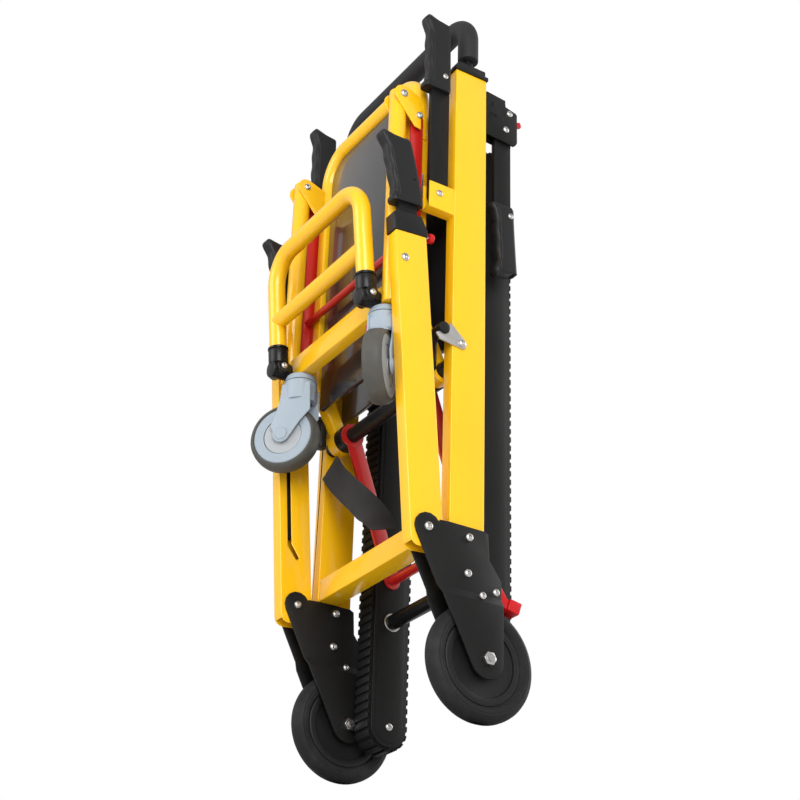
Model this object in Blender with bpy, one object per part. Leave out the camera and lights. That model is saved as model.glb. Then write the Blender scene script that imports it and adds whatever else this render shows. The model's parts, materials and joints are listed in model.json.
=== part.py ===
"""Evacuation stair chair, folded flat and standing on its rear wheels.

Metres, +Z up, +X to the right seen from the front, +Y to the back.
The chair stands on z = 0, and the middle of its bounding box lies on the Z axis.
"""

import math

import bmesh
import bpy
from mathutils import Matrix, Vector

# ---------------------------------------------------------------- driving sizes
TOUCH = 0.0003                 # gap left between pieces that touch
RUN = 0.0012                   # running clearance beside a moving piece
SIDES = 14                     # facets round a tube

# Two rear uprights of rectangular tube
HALF_WIDTH = 0.1725            # outer face of an upright from the middle plane
UPRIGHT_W = 0.020
UPRIGHT_D = 0.052
UPRIGHT_WALL = 0.002
UPRIGHT_TOP = 0.954
UPRIGHT_BOTTOM = 0.163

# Cross members between the uprights
CROSSBAR_H = 0.032
CROSSBAR_D = 0.030
CROSSBAR_Z = 0.2575
TOP_BAR_Z = 0.905
TOP_BAR_R = 0.011
SEAT_AXLE_R = 0.011

# Rear wheels and the fork plates that carry them
WHEEL_R = 0.075
WHEEL_W = 0.026
WHEEL_Y = 0.052
PLATE_T = 0.003
PLATE_JOGGLE = 0.005           # how far a fork plate steps out past the wheel
JOGGLE_Z = 0.158

# Seat: hinge axis, side rails, round front loop and board
SEAT_HINGE_Y = 0.010
SEAT_HINGE_Z = 0.478
RAIL_X = 0.1275
RAIL_W = 0.020
RAIL_FRONT_Y = -0.042
RAIL_BACK_Y = -0.022
RAIL_KNEE_Z = 0.560            # where a rail starts to slant back to its hinge
LOOP_R = 0.0125
LOOP_BEND = 0.048
LOOP_TOP = 0.953               # centre line of the loop's front bar
LOOP_START = 0.846
BOARD_T = 0.008
BOARD_LOW = 0.512

# Front legs, which hang from the seat's hinge plates
LEG_X = 0.137
LEG_R = 0.0125
LEG_Y = -0.0745
LEG_HINGE_Z = 0.8895
LEG_BAR_H = 0.034
LEG_BAR_D = 0.020
LEG_BAR_Y = -0.072
LEG_BAR_Z = 0.567
HINGE_PLATE_T = 0.0025

# Casters
CASTER_X = {"left": 0.107, "right": 0.119}
CASTER_R = 0.050
CASTER_W = 0.028
CASTER_TRAIL = 0.018
CASTER_DROP = 0.094            # from the leg bar's underside to the wheel's centre
CASTER_TURN = {"left": -50.0, "right": 45.0}   # degrees about +Z from straight ahead, parked

# Footrest
FOOT_X = 0.120
FOOT_R = 0.0125
FOOT_Y = -0.102
FOOT_Z = 0.560
FOOT_LEAN = 5.6
FOOT_LENGTH = 0.176            # hinge to the centre line of the top bar
FOOT_BAR_AT = 0.076
FOOT_BEND = 0.045

# Red lock frame behind the legs
LOCK_T = 0.004
LOCK_W = 0.020
LOCK_X = 0.1435
LOCK_Y = -0.047
LOCK_TOP = 0.862
LOCK_BOTTOM = 0.600
LOCK_ROD_Z = 0.665
LOCK_ROD_R = 0.0055

# Front lifting arms of rectangular tube, leaning forward a little
ARM_Y = -0.033
ARM_Z = 0.229
ARM_LEAN = 4.8
ARM_W = 0.020
ARM_D = 0.048
ARM_WALL = 0.002
ARM_LENGTH = 0.418             # hinge to the lower edge of the end sleeve
SLEEVE_W = 0.022
SLEEVE_D = 0.052
SLEEVE_H = 0.030
ARM_BAR_T = 0.010
ARM_BAR_D = 0.028
ARM_GRIP_X = 0.1635
GRIP_W = 0.020
SLOT_W = 0.006
SLOT_LOW = 0.085
SLOT_HIGH = 0.268
SLOT_Y = -0.012
KNOB_R = 0.007

# Flip-up armrests
REST_X = 0.1635
REST_Y = -0.023
REST_Z = 0.7265
REST_BAR_T = 0.008
REST_BAR_D = 0.030
REST_GRIP_W = 0.020
BRACKET_T = 0.0025
BRACKET_W = 0.018
BRACKET_D = 0.041
BRACKET_H = 0.042

# Rear lifting handles
LIFT_X = 0.1635
LIFT_Y = 0.084
LIFT_Z = 0.882
LIFT_BAR_T = 0.008
LIFT_BAR_D = 0.028
LIFT_GRIP_W = 0.020
LIFT_BRACKET_W = 0.018
LIFT_BRACKET_LOW = 0.862
LIFT_BRACKET_TOP = 0.931
LIFT_BRACKET_BACK = 0.106

# Push handle
PUSH_TUBE_R = 0.0072
PUSH_GRIP_R = 0.0150
PUSH_TOP = 1.062
PUSH_Y = 0.026
PUSH_BEND = 0.040
PUSH_INSERT = 0.300            # how far each leg reaches down into its upright

# Tracks
TRACK_X = 0.120
TRACK_W = 0.034
TRACK_GUARD_T = 0.003
TRACK_FRONT_Y = 0.056
TRACK_R = 0.032                # outer radius of the belt round a pulley
BELT_T = 0.007
TRACK_LOW_Z = 0.068
TRACK_HIGH_Z = 0.832
TRACK_HINGE_Z = 0.215
TRACK_TUBE_R = 0.0105

# Red track strut
STRUT_X = 0.096
STRUT_T = 0.004
STRUT_W = 0.024
STRUT_EYE_R = 0.0175
STRUT_FOOT_Y = 0.084
STRUT_FOOT_Z = 0.274

# Safety belt
BELT_WIDTH = 0.040
BELT_THICK = 0.003

HUES = {
    "yellow": ((0.90, 0.52, 0.010), 0.28, 0.0),
    "black_steel": ((0.018, 0.018, 0.019), 0.45, 0.2),
    "black_plastic": ((0.020, 0.020, 0.022), 0.50, 0.0),
    "rubber": ((0.030, 0.030, 0.030), 0.80, 0.0),
    "grey_plastic": ((0.42, 0.46, 0.50), 0.45, 0.0),
    "red": ((0.62, 0.012, 0.015), 0.35, 0.0),
    "board": ((0.060, 0.058, 0.062), 0.18, 0.0),
    "webbing": ((0.012, 0.012, 0.013), 0.85, 0.0),
}


# ---------------------------------------------------------------- scene helpers
def clear_scene():
    for obj in list(bpy.data.objects):
        bpy.data.objects.remove(obj)


def material(name, hue):
    """A Principled material of its own for one piece."""
    colour, roughness, metallic = HUES[hue]
    made = bpy.data.materials.new(name)
    made.use_nodes = True
    shader = made.node_tree.nodes["Principled BSDF"]
    shader.inputs["Base Color"].default_value = (*colour, 1.0)
    shader.inputs["Roughness"].default_value = roughness
    shader.inputs["Metallic"].default_value = metallic
    return made


def axis_at(name, place, parent=None, lean=0.0):
    """An empty on a joint's axis. Lean turns its local frame about X, in degrees."""
    empty = bpy.data.objects.new(name, None)
    bpy.context.scene.collection.objects.link(empty)
    empty.empty_display_size = 0.03
    empty.parent = parent
    empty.location = place
    empty.rotation_euler = (math.radians(lean), 0.0, 0.0)
    return empty


def piece(name, bm, hue, parent=None, helper=False):
    """An object from a bmesh that is drawn in its parent's local frame."""
    bmesh.ops.recalc_face_normals(bm, faces=bm.faces)
    if bm.calc_volume(signed=True) < 0:
        bmesh.ops.reverse_faces(bm, faces=bm.faces)
    mesh = bpy.data.meshes.new(name)
    bm.to_mesh(mesh)
    bm.free()
    obj = bpy.data.objects.new(name, mesh)
    bpy.context.scene.collection.objects.link(obj)
    obj.parent = parent
    if helper:
        obj.hide_render = True
        obj.display_type = "WIRE"
        return obj
    mesh.materials.append(material(name, hue))
    mesh.shade_smooth()
    mesh.set_sharp_from_angle(angle=math.radians(35))
    return obj


def boolean(obj, tool, operation):
    cut = obj.modifiers.new(operation.lower(), "BOOLEAN")
    cut.operation = operation
    cut.object = tool
    cut.solver = "EXACT"


def fused(name, shapes, cuts, hue, parent=None):
    """One body: the first shape with the others joined to it and the cuts taken out."""
    base = piece(name, shapes[0], hue, parent)
    for number, shape in enumerate(shapes[1:]):
        boolean(base, piece(f"{name}_add{number}", shape, hue, parent, helper=True), "UNION")
    for number, shape in enumerate(cuts):
        boolean(base, piece(f"{name}_cut{number}", shape, hue, parent, helper=True), "DIFFERENCE")
    return base


# ---------------------------------------------------------------- shape helpers
def box(low, high):
    """A block between two corners."""
    bm = bmesh.new()
    bmesh.ops.create_cube(bm, size=1.0)
    size = Vector(high) - Vector(low)
    middle = (Vector(high) + Vector(low)) / 2
    bm.transform(Matrix.Translation(middle) @ Matrix.Diagonal((*size, 1.0)))
    return bm


def slab(outline, x0, x1):
    """A (y, z) outline given thickness along X."""
    bm = bmesh.new()
    face = bm.faces.new([bm.verts.new((x0, y, z)) for y, z in outline])
    moved = bmesh.ops.extrude_face_region(bm, geom=[face])["geom"]
    verts = [item for item in moved if isinstance(item, bmesh.types.BMVert)]
    bmesh.ops.translate(bm, verts=verts, vec=(x1 - x0, 0.0, 0.0))
    return bm


def rod(start, end, radius, sides=SIDES):
    """A solid round bar between two points."""
    start = Vector(start)
    along = Vector(end) - start
    bm = bmesh.new()
    bmesh.ops.create_cone(bm, cap_ends=True, segments=sides, radius1=radius, radius2=radius,
                          depth=along.length)
    turn = Vector((0, 0, 1)).rotation_difference(along).to_matrix().to_4x4()
    bm.transform(Matrix.Translation(start + along / 2) @ turn)
    return bm


def arc(centre, radius, first, last, steps):
    """Points on a circle in the (y, z) plane, angles in degrees from +Y towards +Z."""
    points = []
    for step in range(steps + 1):
        angle = math.radians(first + (last - first) * step / steps)
        points.append((centre[0] + radius * math.cos(angle), centre[1] + radius * math.sin(angle)))
    return points


def rounded_path(corners, bend, steps=5):
    """A 3-D polyline whose inner corners are replaced by arcs of the bend radius."""
    corners = [Vector(corner) for corner in corners]
    path = [corners[0]]
    for before, corner, after in zip(corners, corners[1:], corners[2:]):
        to_before = (before - corner).normalized()
        to_after = (after - corner).normalized()
        half = to_before.angle(to_after) / 2
        centre = corner + (to_before + to_after).normalized() * bend / math.sin(half)
        start = corner + to_before * bend / math.tan(half) - centre
        end = corner + to_after * bend / math.tan(half) - centre
        sweep = start.angle(end)
        for step in range(steps + 1):
            t = step / steps
            weight0 = math.sin((1 - t) * sweep) / math.sin(sweep)
            weight1 = math.sin(t * sweep) / math.sin(sweep)
            path.append(centre + start * weight0 + end * weight1)
    path.append(corners[-1])
    return path


def tube(path, radius, sides=SIDES):
    """A solid round tube along a path, with flat ends."""
    path = [Vector(point) for point in path]
    bm = bmesh.new()
    rings = []
    side = None
    for index, point in enumerate(path):
        ahead = path[min(index + 1, len(path) - 1)]
        behind = path[max(index - 1, 0)]
        along = (ahead - behind).normalized()
        if side is None:
            side = along.orthogonal().normalized()
        side = (side - along * side.dot(along)).normalized()
        up = along.cross(side)
        ring = []
        for step in range(sides):
            angle = 2 * math.pi * step / sides
            offset = side * math.cos(angle) + up * math.sin(angle)
            ring.append(bm.verts.new(point + offset * radius))
        rings.append(ring)
    for one, other in zip(rings, rings[1:]):
        for step in range(sides):
            after = (step + 1) % sides
            bm.faces.new((one[step], one[after], other[after], other[step]))
    bm.faces.new(rings[0])
    bm.faces.new(rings[-1])
    return bm


def turned(profile, sides=28):
    """A solid turned about X from (x, radius) points. The first and last lie on the axis."""
    bm = bmesh.new()
    edges = []
    verts = [bm.verts.new((x, 0.0, radius)) for x, radius in profile]
    for one, other in zip(verts, verts[1:]):
        edges.append(bm.edges.new((one, other)))
    bmesh.ops.spin(bm, geom=verts + edges, cent=(0, 0, 0), axis=(1, 0, 0), angle=2 * math.pi,
                   steps=sides, use_merge=True)
    bmesh.ops.remove_doubles(bm, verts=bm.verts, dist=0.00001)
    return bm


def sides_of_chair():
    return (("left", -1.0), ("right", 1.0))


# ---------------------------------------------------------------- rear frame
UPRIGHT_X = HALF_WIDTH - UPRIGHT_W / 2
INNER_X = HALF_WIDTH - UPRIGHT_W
INNER_GAP = UPRIGHT_W + 2 * (TOUCH + PLATE_JOGGLE)   # between the fork plates, beside the wheel


def span(inner, outer, sign):
    """The two X values of a piece between two distances from the middle plane, low first."""
    return (inner, outer) if sign > 0 else (-outer, -inner)


def upright(side, sign):
    x0, x1 = span(INNER_X, HALF_WIDTH, sign)
    outside = box((x0, 0.0, UPRIGHT_BOTTOM), (x1, UPRIGHT_D, UPRIGHT_TOP))
    hollow = box((x0 + UPRIGHT_WALL, UPRIGHT_WALL, UPRIGHT_BOTTOM - 0.01),
                 (x1 - UPRIGHT_WALL, UPRIGHT_D - UPRIGHT_WALL, UPRIGHT_TOP + 0.01))
    bracket, gap = armrest_bracket(sign)
    fused(f"upright_{side}", [outside, bracket], [hollow, gap], "yellow")


def cross_members():
    half = INNER_X - TOUCH
    low = CROSSBAR_Z - CROSSBAR_H / 2
    bar = box((-half, 0.0, low), (half, CROSSBAR_D, low + CROSSBAR_H))
    piece("lower_crossbar", bar, "yellow")
    top = rod((-half, UPRIGHT_D / 2, TOP_BAR_Z), (half, UPRIGHT_D / 2, TOP_BAR_Z), TOP_BAR_R)
    piece("upper_crossbar", top, "black_steel")
    axle = rod((-half, SEAT_HINGE_Y, SEAT_HINGE_Z), (half, SEAT_HINGE_Y, SEAT_HINGE_Z), SEAT_AXLE_R)
    piece("seat_axle", axle, "black_steel")


def upright_cap(side, sign):
    """A stepped plug on top of an upright, bored for the push handle's leg."""
    margin = 0.002
    x0, x1 = span(INNER_X - margin, HALF_WIDTH + margin, sign)
    bottom = UPRIGHT_TOP + TOUCH
    brim = box((x0, -margin, bottom), (x1, UPRIGHT_D + margin, bottom + 0.006))
    step = box((x0 + 0.002, 0.004, bottom + 0.005),
               (x1 - 0.002, UPRIGHT_D - 0.002, bottom + 0.016))
    bore = rod((sign * UPRIGHT_X, PUSH_Y, bottom - 0.01), (sign * UPRIGHT_X, PUSH_Y, bottom + 0.03),
               PUSH_TUBE_R + RUN / 2)
    fused(f"upright_cap_{side}", [brim, step], [bore], "black_plastic")


def gusset_outline(top):
    """Lobe round the arm's hinge, level top edge, stepped back edge and a round wheel end."""
    lobe_r = 0.019
    end_r = 0.024
    back = WHEEL_Y + end_r
    gap = Vector((ARM_Y - WHEEL_Y, ARM_Z - WHEEL_R))
    lean = math.degrees(math.atan2(gap.y, gap.x))
    tangent = lean + 90 - math.degrees(math.asin((end_r - lobe_r) / gap.length))
    outline = arc((WHEEL_Y, WHEEL_R), end_r, tangent, 360, 9)
    outline += [(back, 0.182), (UPRIGHT_D + 0.006, 0.206), (UPRIGHT_D + 0.004, top - 0.003)]
    outline += [(UPRIGHT_D - 0.002, top), (ARM_Y + 0.030, top), (ARM_Y + 0.017, top - 0.001)]
    outline += arc((ARM_Y, ARM_Z), lobe_r, 30, tangent, 7)
    return outline


def gusset(name, x_near, outward, top):
    """One fork plate: flat on the upright, stepped outwards beside the wheel."""
    bm = slab(gusset_outline(top), x_near, x_near + outward * PLATE_T)
    for height in (JOGGLE_Z, JOGGLE_Z - 0.010):
        bmesh.ops.bisect_plane(bm, geom=bm.verts[:] + bm.edges[:] + bm.faces[:],
                               plane_co=(0, 0, height), plane_no=(0, 0, 1))
    for vert in bm.verts:
        if vert.co.z < JOGGLE_Z - 0.0099:
            vert.co.x += outward * PLATE_JOGGLE
    piece(name, bm, "black_steel")


def gussets(side, sign):
    gusset(f"fork_plate_outer_{side}", sign * (HALF_WIDTH + TOUCH), sign, ARM_Z + 0.0145)
    under_bar = CROSSBAR_Z - CROSSBAR_H / 2 - TOUCH
    gusset(f"fork_plate_inner_{side}", sign * (INNER_X - TOUCH), -sign, under_bar)


def armrest_bracket(sign):
    """The block and the cutter of the U-shaped bracket welded to an upright's front face."""
    middle = sign * REST_X
    low = REST_Z - BRACKET_H * 0.6
    half = BRACKET_W / 2
    block = box((middle - half, -BRACKET_D, low), (middle + half, UPRIGHT_WALL / 2, low + BRACKET_H))
    gap = box((middle - half + BRACKET_T, -BRACKET_D - 0.01, low + BRACKET_T),
              (middle + half - BRACKET_T, -BRACKET_T, low + BRACKET_H + 0.01))
    return block, gap


def lift_bracket(side, sign):
    """Open-backed black bracket behind the top of an upright."""
    middle = sign * LIFT_X
    half = LIFT_BRACKET_W / 2
    front = UPRIGHT_D + TOUCH
    wall = 0.003
    outline = [(front, LIFT_BRACKET_LOW + 0.012), (front + 0.030, LIFT_BRACKET_LOW),
               (LIFT_BRACKET_BACK - 0.005, LIFT_BRACKET_LOW),
               (LIFT_BRACKET_BACK, LIFT_BRACKET_LOW + 0.006),
               (LIFT_BRACKET_BACK, LIFT_BRACKET_TOP - 0.026),
               (LIFT_BRACKET_BACK - 0.006, LIFT_BRACKET_TOP - 0.020),
               (front + 0.030, LIFT_BRACKET_TOP - 0.016), (front + 0.030, LIFT_BRACKET_TOP - 0.004),
               (front, LIFT_BRACKET_TOP)]
    block = slab(outline, middle - half, middle + half)
    gap = box((middle - half + wall, front + wall, LIFT_BRACKET_LOW - 0.01),
              (middle + half - wall, LIFT_BRACKET_BACK + 0.01, LIFT_BRACKET_TOP + 0.01))
    fused(f"lift_bracket_{side}", [block], [gap], "black_steel")


def back_panel():
    """Backrest board between the uprights."""
    half = INNER_X - 0.004
    piece("back_panel", box((-half, 0.020, 0.520), (half, 0.026, 0.880)), "board")


def rear_wheel(side, sign):
    centre = axis_at(f"wheel_axis_{side}", (sign * UPRIGHT_X, WHEEL_Y, WHEEL_R))
    half = WHEEL_W / 2
    hub = INNER_GAP / 2 - TOUCH
    profile = [(hub, 0.0), (hub, 0.016), (half - 0.006, 0.020), (half - 0.006, 0.046),
               (half - 0.001, 0.050), (half, WHEEL_R - 0.010), (half - 0.003, WHEEL_R - 0.003),
               (half - 0.009, WHEEL_R)]
    profile += [(-x, radius) for x, radius in reversed(profile)]
    piece(f"rear_wheel_{side}", turned(profile), "rubber", centre)


def brake_pedal(side, sign):
    """Red pedal behind the fork plates, on its own cross pin."""
    pin_y, pin_z = 0.0615, 0.1715
    hinge = axis_at(f"pedal_axis_{side}", (sign * UPRIGHT_X, pin_y, pin_z))
    arm = [(-0.004, 0.006), (-0.006, -0.002), (0.000, -0.008), (0.014, -0.006), (0.028, -0.019),
           (0.044, -0.024), (0.048, -0.010), (0.043, -0.004), (0.033, -0.008), (0.022, 0.008),
           (0.008, 0.010)]
    lever = slab(arm, -0.004, 0.004)
    pad = slab([(0.027, -0.021), (0.044, -0.025), (0.049, -0.009), (0.032, -0.006)], -0.0095, 0.0095)
    fused(f"brake_pedal_{side}", [lever, pad], [], "red", hinge)


# ---------------------------------------------------------------- push handle
def push_handle():
    slider = axis_at("push_handle_axis", (0.0, PUSH_Y, UPRIGHT_TOP))
    top = PUSH_TOP - UPRIGHT_TOP
    corners = [(-UPRIGHT_X, 0, -PUSH_INSERT), (-UPRIGHT_X, 0, top), (UPRIGHT_X, 0, top),
               (UPRIGHT_X, 0, -PUSH_INSERT)]
    piece("push_handle_tube", tube(rounded_path(corners, PUSH_BEND), PUSH_TUBE_R, 12),
          "black_steel", slider)
    # The sleeve is one ring that the tube passes through, with a small gap all round.
    low = 0.030
    corners[0] = (-UPRIGHT_X, 0, low)
    corners[3] = (UPRIGHT_X, 0, low)
    outer = tube(rounded_path(corners, PUSH_BEND), PUSH_GRIP_R, 14)
    corners[0] = (-UPRIGHT_X, 0, low - 0.01)
    corners[3] = (UPRIGHT_X, 0, low - 0.01)
    inner = tube(rounded_path(corners, PUSH_BEND), PUSH_TUBE_R + TOUCH, 12)
    fused("push_handle_sleeve", [outer], [inner], "rubber", slider)


# ---------------------------------------------------------------- armrests and lifting handles
def handle_grip(bottom, top, back, front, reach, hook):
    """Outline of a pistol grip in (y, z): plain back, hooked top and wavy finger side.

    The finger side faces -Y. Bottom and top are heights, back and front the faces at the
    bottom, reach the lean of the top towards -Y, and hook the finger stop's depth."""
    height = top - bottom
    outline = [(back, bottom), (back - reach * 0.45, bottom + height * 0.5), (back - reach, top)]
    outline += [(front - reach + hook * 0.6, top + 0.004), (front - reach - hook, top - 0.004),
                (front - reach - hook, top - 0.012)]
    fingers = 4
    span_z = height - 0.030
    for step in range(fingers * 2 + 1):
        t = step / (fingers * 2)
        depth = 0.0012 if step % 2 else -0.0012
        outline.append((front - reach * (1 - t) + depth, top - 0.020 - span_z * t))
    outline += [(front - hook * 0.8, bottom + 0.004), (front - hook * 0.5, bottom - 0.003)]
    return outline


def armrest(side, sign):
    """Flat bar and pistol grip that flip forward to become an armrest."""
    hinge = axis_at(f"armrest_axis_{side}", (sign * REST_X, REST_Y, REST_Z))
    half = REST_BAR_D / 2
    bar = slab(arc((0, 0), half, 180, 360, 8) + [(half, 0.200), (-half, 0.200)],
               -REST_BAR_T / 2, REST_BAR_T / 2)
    outline = handle_grip(0.182, 0.302, 0.0155, -0.0235, 0.002, 0.005)
    grip = slab(outline, -REST_GRIP_W / 2, REST_GRIP_W / 2)
    fused(f"armrest_{side}", [bar, grip], [], "black_plastic", hinge)


def lift_handle(side, sign):
    """Rear lifting handle, hanging down from its bracket, finger side to the front."""
    hinge = axis_at(f"lift_axis_{side}", (sign * LIFT_X, LIFT_Y, LIFT_Z))
    half = LIFT_BAR_D / 2
    bar = slab(arc((0, 0), half, 0, 180, 8) + [(-half, -0.160), (half, -0.160)],
               -LIFT_BAR_T / 2, LIFT_BAR_T / 2)
    outline = handle_grip(0.134, 0.243, 0.0165, -0.0165, -0.006, 0.004)
    grip = slab([(y, -z) for y, z in reversed(outline)], -LIFT_GRIP_W / 2, LIFT_GRIP_W / 2)
    fused(f"lift_handle_{side}", [bar, grip], [], "black_plastic", hinge)


def lift_release(side, sign):
    """Red release lever on the inner side of a rear bracket."""
    x = LIFT_X - LIFT_BRACKET_W / 2 - RUN
    hinge = axis_at(f"release_axis_{side}", (sign * x, 0.0925, 0.913))
    outline = arc((0, 0), 0.006, 120, 300, 6) + [(0.022, -0.003), (0.036, 0.004), (0.034, 0.012),
                                                 (0.020, 0.008)]
    lever = slab(outline, 0.0, -sign * 0.006)
    piece(f"lift_release_{side}", lever, "red", hinge)


# ---------------------------------------------------------------- seat
def seat_hinge_axis():
    return axis_at("seat_axis", (0.0, SEAT_HINGE_Y, SEAT_HINGE_Z))


def in_seat(point):
    """A chair point in the seat axis's local frame."""
    return (point[0], point[1] - SEAT_HINGE_Y, point[2] - SEAT_HINGE_Z)


def rail_outline(hub_r):
    """Side rail in the seat axis's frame: upright, then slanting back to the hub."""
    middle = (RAIL_FRONT_Y + RAIL_BACK_Y) / 2
    slope = Vector((SEAT_HINGE_Y - middle, SEAT_HINGE_Z - RAIL_KNEE_Z)).normalized()
    normal = Vector((-slope.y, slope.x)) * 0.009
    end = Vector((SEAT_HINGE_Y, SEAT_HINGE_Z)) - slope * (hub_r - 0.002)
    outline = [(RAIL_FRONT_Y, LOOP_START), (RAIL_FRONT_Y, RAIL_KNEE_Z - 0.004),
               (end.x - normal.x, end.y - normal.y), (end.x + normal.x, end.y + normal.y),
               (RAIL_BACK_Y, RAIL_KNEE_Z + 0.008), (RAIL_BACK_Y, LOOP_START)]
    return [(y - SEAT_HINGE_Y, z - SEAT_HINGE_Z) for y, z in outline]


def seat_frame(seat):
    """Rectangular side rails on the seat axle, with a round tube bent across the front."""
    hub_r = 0.0175
    y = (RAIL_FRONT_Y + RAIL_BACK_Y) / 2
    start = LOOP_START - 0.010
    corners = [(-RAIL_X, y, start), (-RAIL_X, y, LOOP_TOP), (RAIL_X, y, LOOP_TOP), (RAIL_X, y, start)]
    shapes = [tube(rounded_path([in_seat(corner) for corner in corners], LOOP_BEND), LOOP_R)]
    bores = []
    for _side, sign in sides_of_chair():
        x0, x1 = span(RAIL_X - RAIL_W / 2, RAIL_X + RAIL_W / 2, sign)
        shapes.append(slab(rail_outline(hub_r), x0, x1))
        shapes.append(rod((x0 + 0.0005, 0, 0), (x1 - 0.0005, 0, 0), hub_r, 18))
        bores.append(rod((x0 - 0.01, 0, 0), (x1 + 0.01, 0, 0), SEAT_AXLE_R + RUN / 2, 18))
    fused("seat_frame", shapes, bores, "yellow", seat)


def seat_board(seat):
    half = RAIL_X - LOOP_R - TOUCH
    y = (RAIL_FRONT_Y + RAIL_BACK_Y) / 2
    corner = LOOP_BEND - LOOP_R + 0.002
    high = LOOP_TOP - LOOP_R - TOUCH
    outline = [(-half, BOARD_LOW), (half, BOARD_LOW)]
    outline += [(half - corner + dy, high - corner + dz) for dy, dz in arc((0, 0), corner, 0, 90, 5)]
    outline += [(-half + corner + dy, high - corner + dz) for dy, dz in arc((0, 0), corner, 90, 180, 5)]
    bm = bmesh.new()
    face = bm.faces.new([bm.verts.new(in_seat((x, y - BOARD_T / 2, z))) for x, z in outline])
    grown = bmesh.ops.extrude_face_region(bm, geom=[face])["geom"]
    verts = [item for item in grown if isinstance(item, bmesh.types.BMVert)]
    bmesh.ops.translate(bm, verts=verts, vec=(0.0, BOARD_T, 0.0))
    piece("seat_board", bm, "board", seat)


def hinge_plate(side, sign, seat):
    """Channel of yellow plate that joins a rail to the top of a leg."""
    inner = LEG_X - LEG_R - TOUCH - HINGE_PLATE_T
    outer = LEG_X + LEG_R + TOUCH + HINGE_PLATE_T
    x0, x1 = span(inner, outer, sign)
    back = (RAIL_FRONT_Y + RAIL_BACK_Y) / 2 - LOOP_R - TOUCH
    web = back - HINGE_PLATE_T
    crown = arc((LEG_Y, LEG_HINGE_Z), 0.0140, 190, 80, 6)
    outline = [(LEG_Y - 0.0140, LEG_HINGE_Z - 0.006)] + crown
    outline += [(back, LEG_HINGE_Z + 0.004), (back, LEG_HINGE_Z - 0.050), (back - 0.010, LEG_HINGE_Z - 0.048)]
    block = slab([(y - SEAT_HINGE_Y, z - SEAT_HINGE_Z) for y, z in outline], x0, x1)
    low = in_seat((x0 + HINGE_PLATE_T, LEG_Y - 0.05, LEG_HINGE_Z - 0.08))
    high = in_seat((x1 - HINGE_PLATE_T, web, LEG_HINGE_Z + 0.05))
    # Beside the tube, the web stops above the lock bar's rounded end.
    bar_x = span(LOCK_X - LOCK_T / 2 - RUN, outer - HINGE_PLATE_T, sign)
    bar_top = LOCK_TOP + LOCK_W / 2 + RUN
    bar_low = in_seat((bar_x[0], web - 0.01, LEG_HINGE_Z - 0.08))
    bar_high = in_seat((bar_x[1], back + 0.01, bar_top))
    fused(f"hinge_plate_{side}", [block], [box(low, high), box(bar_low, bar_high)], "yellow", seat)


# ---------------------------------------------------------------- legs, casters, footrest, lock
def in_legs(point):
    return (point[0], point[1] - LEG_Y, point[2] - LEG_HINGE_Z)


LEG_BAR_LOW = LEG_BAR_Z - LEG_BAR_H / 2
LEG_END_Z = LEG_BAR_LOW + 0.002


def leg(side, sign, legs):
    top = (sign * LEG_X, LEG_Y, LEG_HINGE_Z + LEG_R * 0.8)
    low = (sign * LEG_X, LEG_Y, LEG_END_Z)
    piece(f"leg_{side}", rod(in_legs(low), in_legs(top), LEG_R), "yellow", legs)


def leg_crossbar(legs):
    half = LEG_X - LEG_R - TOUCH
    low = in_legs((-half, LEG_BAR_Y - LEG_BAR_D / 2, LEG_BAR_LOW))
    high = in_legs((half, LEG_BAR_Y + LEG_BAR_D / 2, LEG_BAR_LOW + LEG_BAR_H))
    piece("leg_crossbar", box(low, high), "yellow", legs)


def caster(side, sign, legs):
    """Swivelling fork and its wheel, parked at an angle."""
    top = LEG_BAR_LOW - TOUCH
    swivel = axis_at(f"swivel_axis_{side}", in_legs((sign * CASTER_X[side], LEG_BAR_Y, top)), legs)
    swivel.rotation_euler = (0.0, 0.0, math.radians(CASTER_TURN[side]))
    trail = -CASTER_TRAIL
    wide = CASTER_W / 2 + 0.0045
    collar = rod((0, 0, 0), (0, 0, -0.046), 0.0225, 18)
    cheek = slab([(-0.0215, -0.018), (0.0215, -0.018), (0.0215, -0.052), (0.004, -0.075)]
                 + arc((trail, -CASTER_DROP), 0.012, 10, -120, 5)
                 + [(trail - 0.0095, -CASTER_DROP + 0.010), (-0.0215, -0.050)], -wide, wide)
    room = slab(arc((trail, -CASTER_DROP), CASTER_R + 0.0035, 0, 360, 24)[:-1],
                -CASTER_W / 2 - RUN, CASTER_W / 2 + RUN)
    fused(f"caster_fork_{side}", [collar, cheek], [room], "grey_plastic", swivel)
    hub = axis_at(f"caster_axis_{side}", (0, trail, -CASTER_DROP), swivel)
    half = CASTER_W / 2
    profile = [(half - 0.001, 0.0), (half - 0.001, 0.012), (half - 0.004, 0.014), (half - 0.004, 0.036),
               (half - 0.002, 0.038), (half - 0.003, CASTER_R - 0.006), (half - 0.008, CASTER_R)]
    profile += [(-x, radius) for x, radius in reversed(profile)]
    piece(f"caster_wheel_{side}", turned(profile, 24), "grey_plastic", hub)


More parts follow.
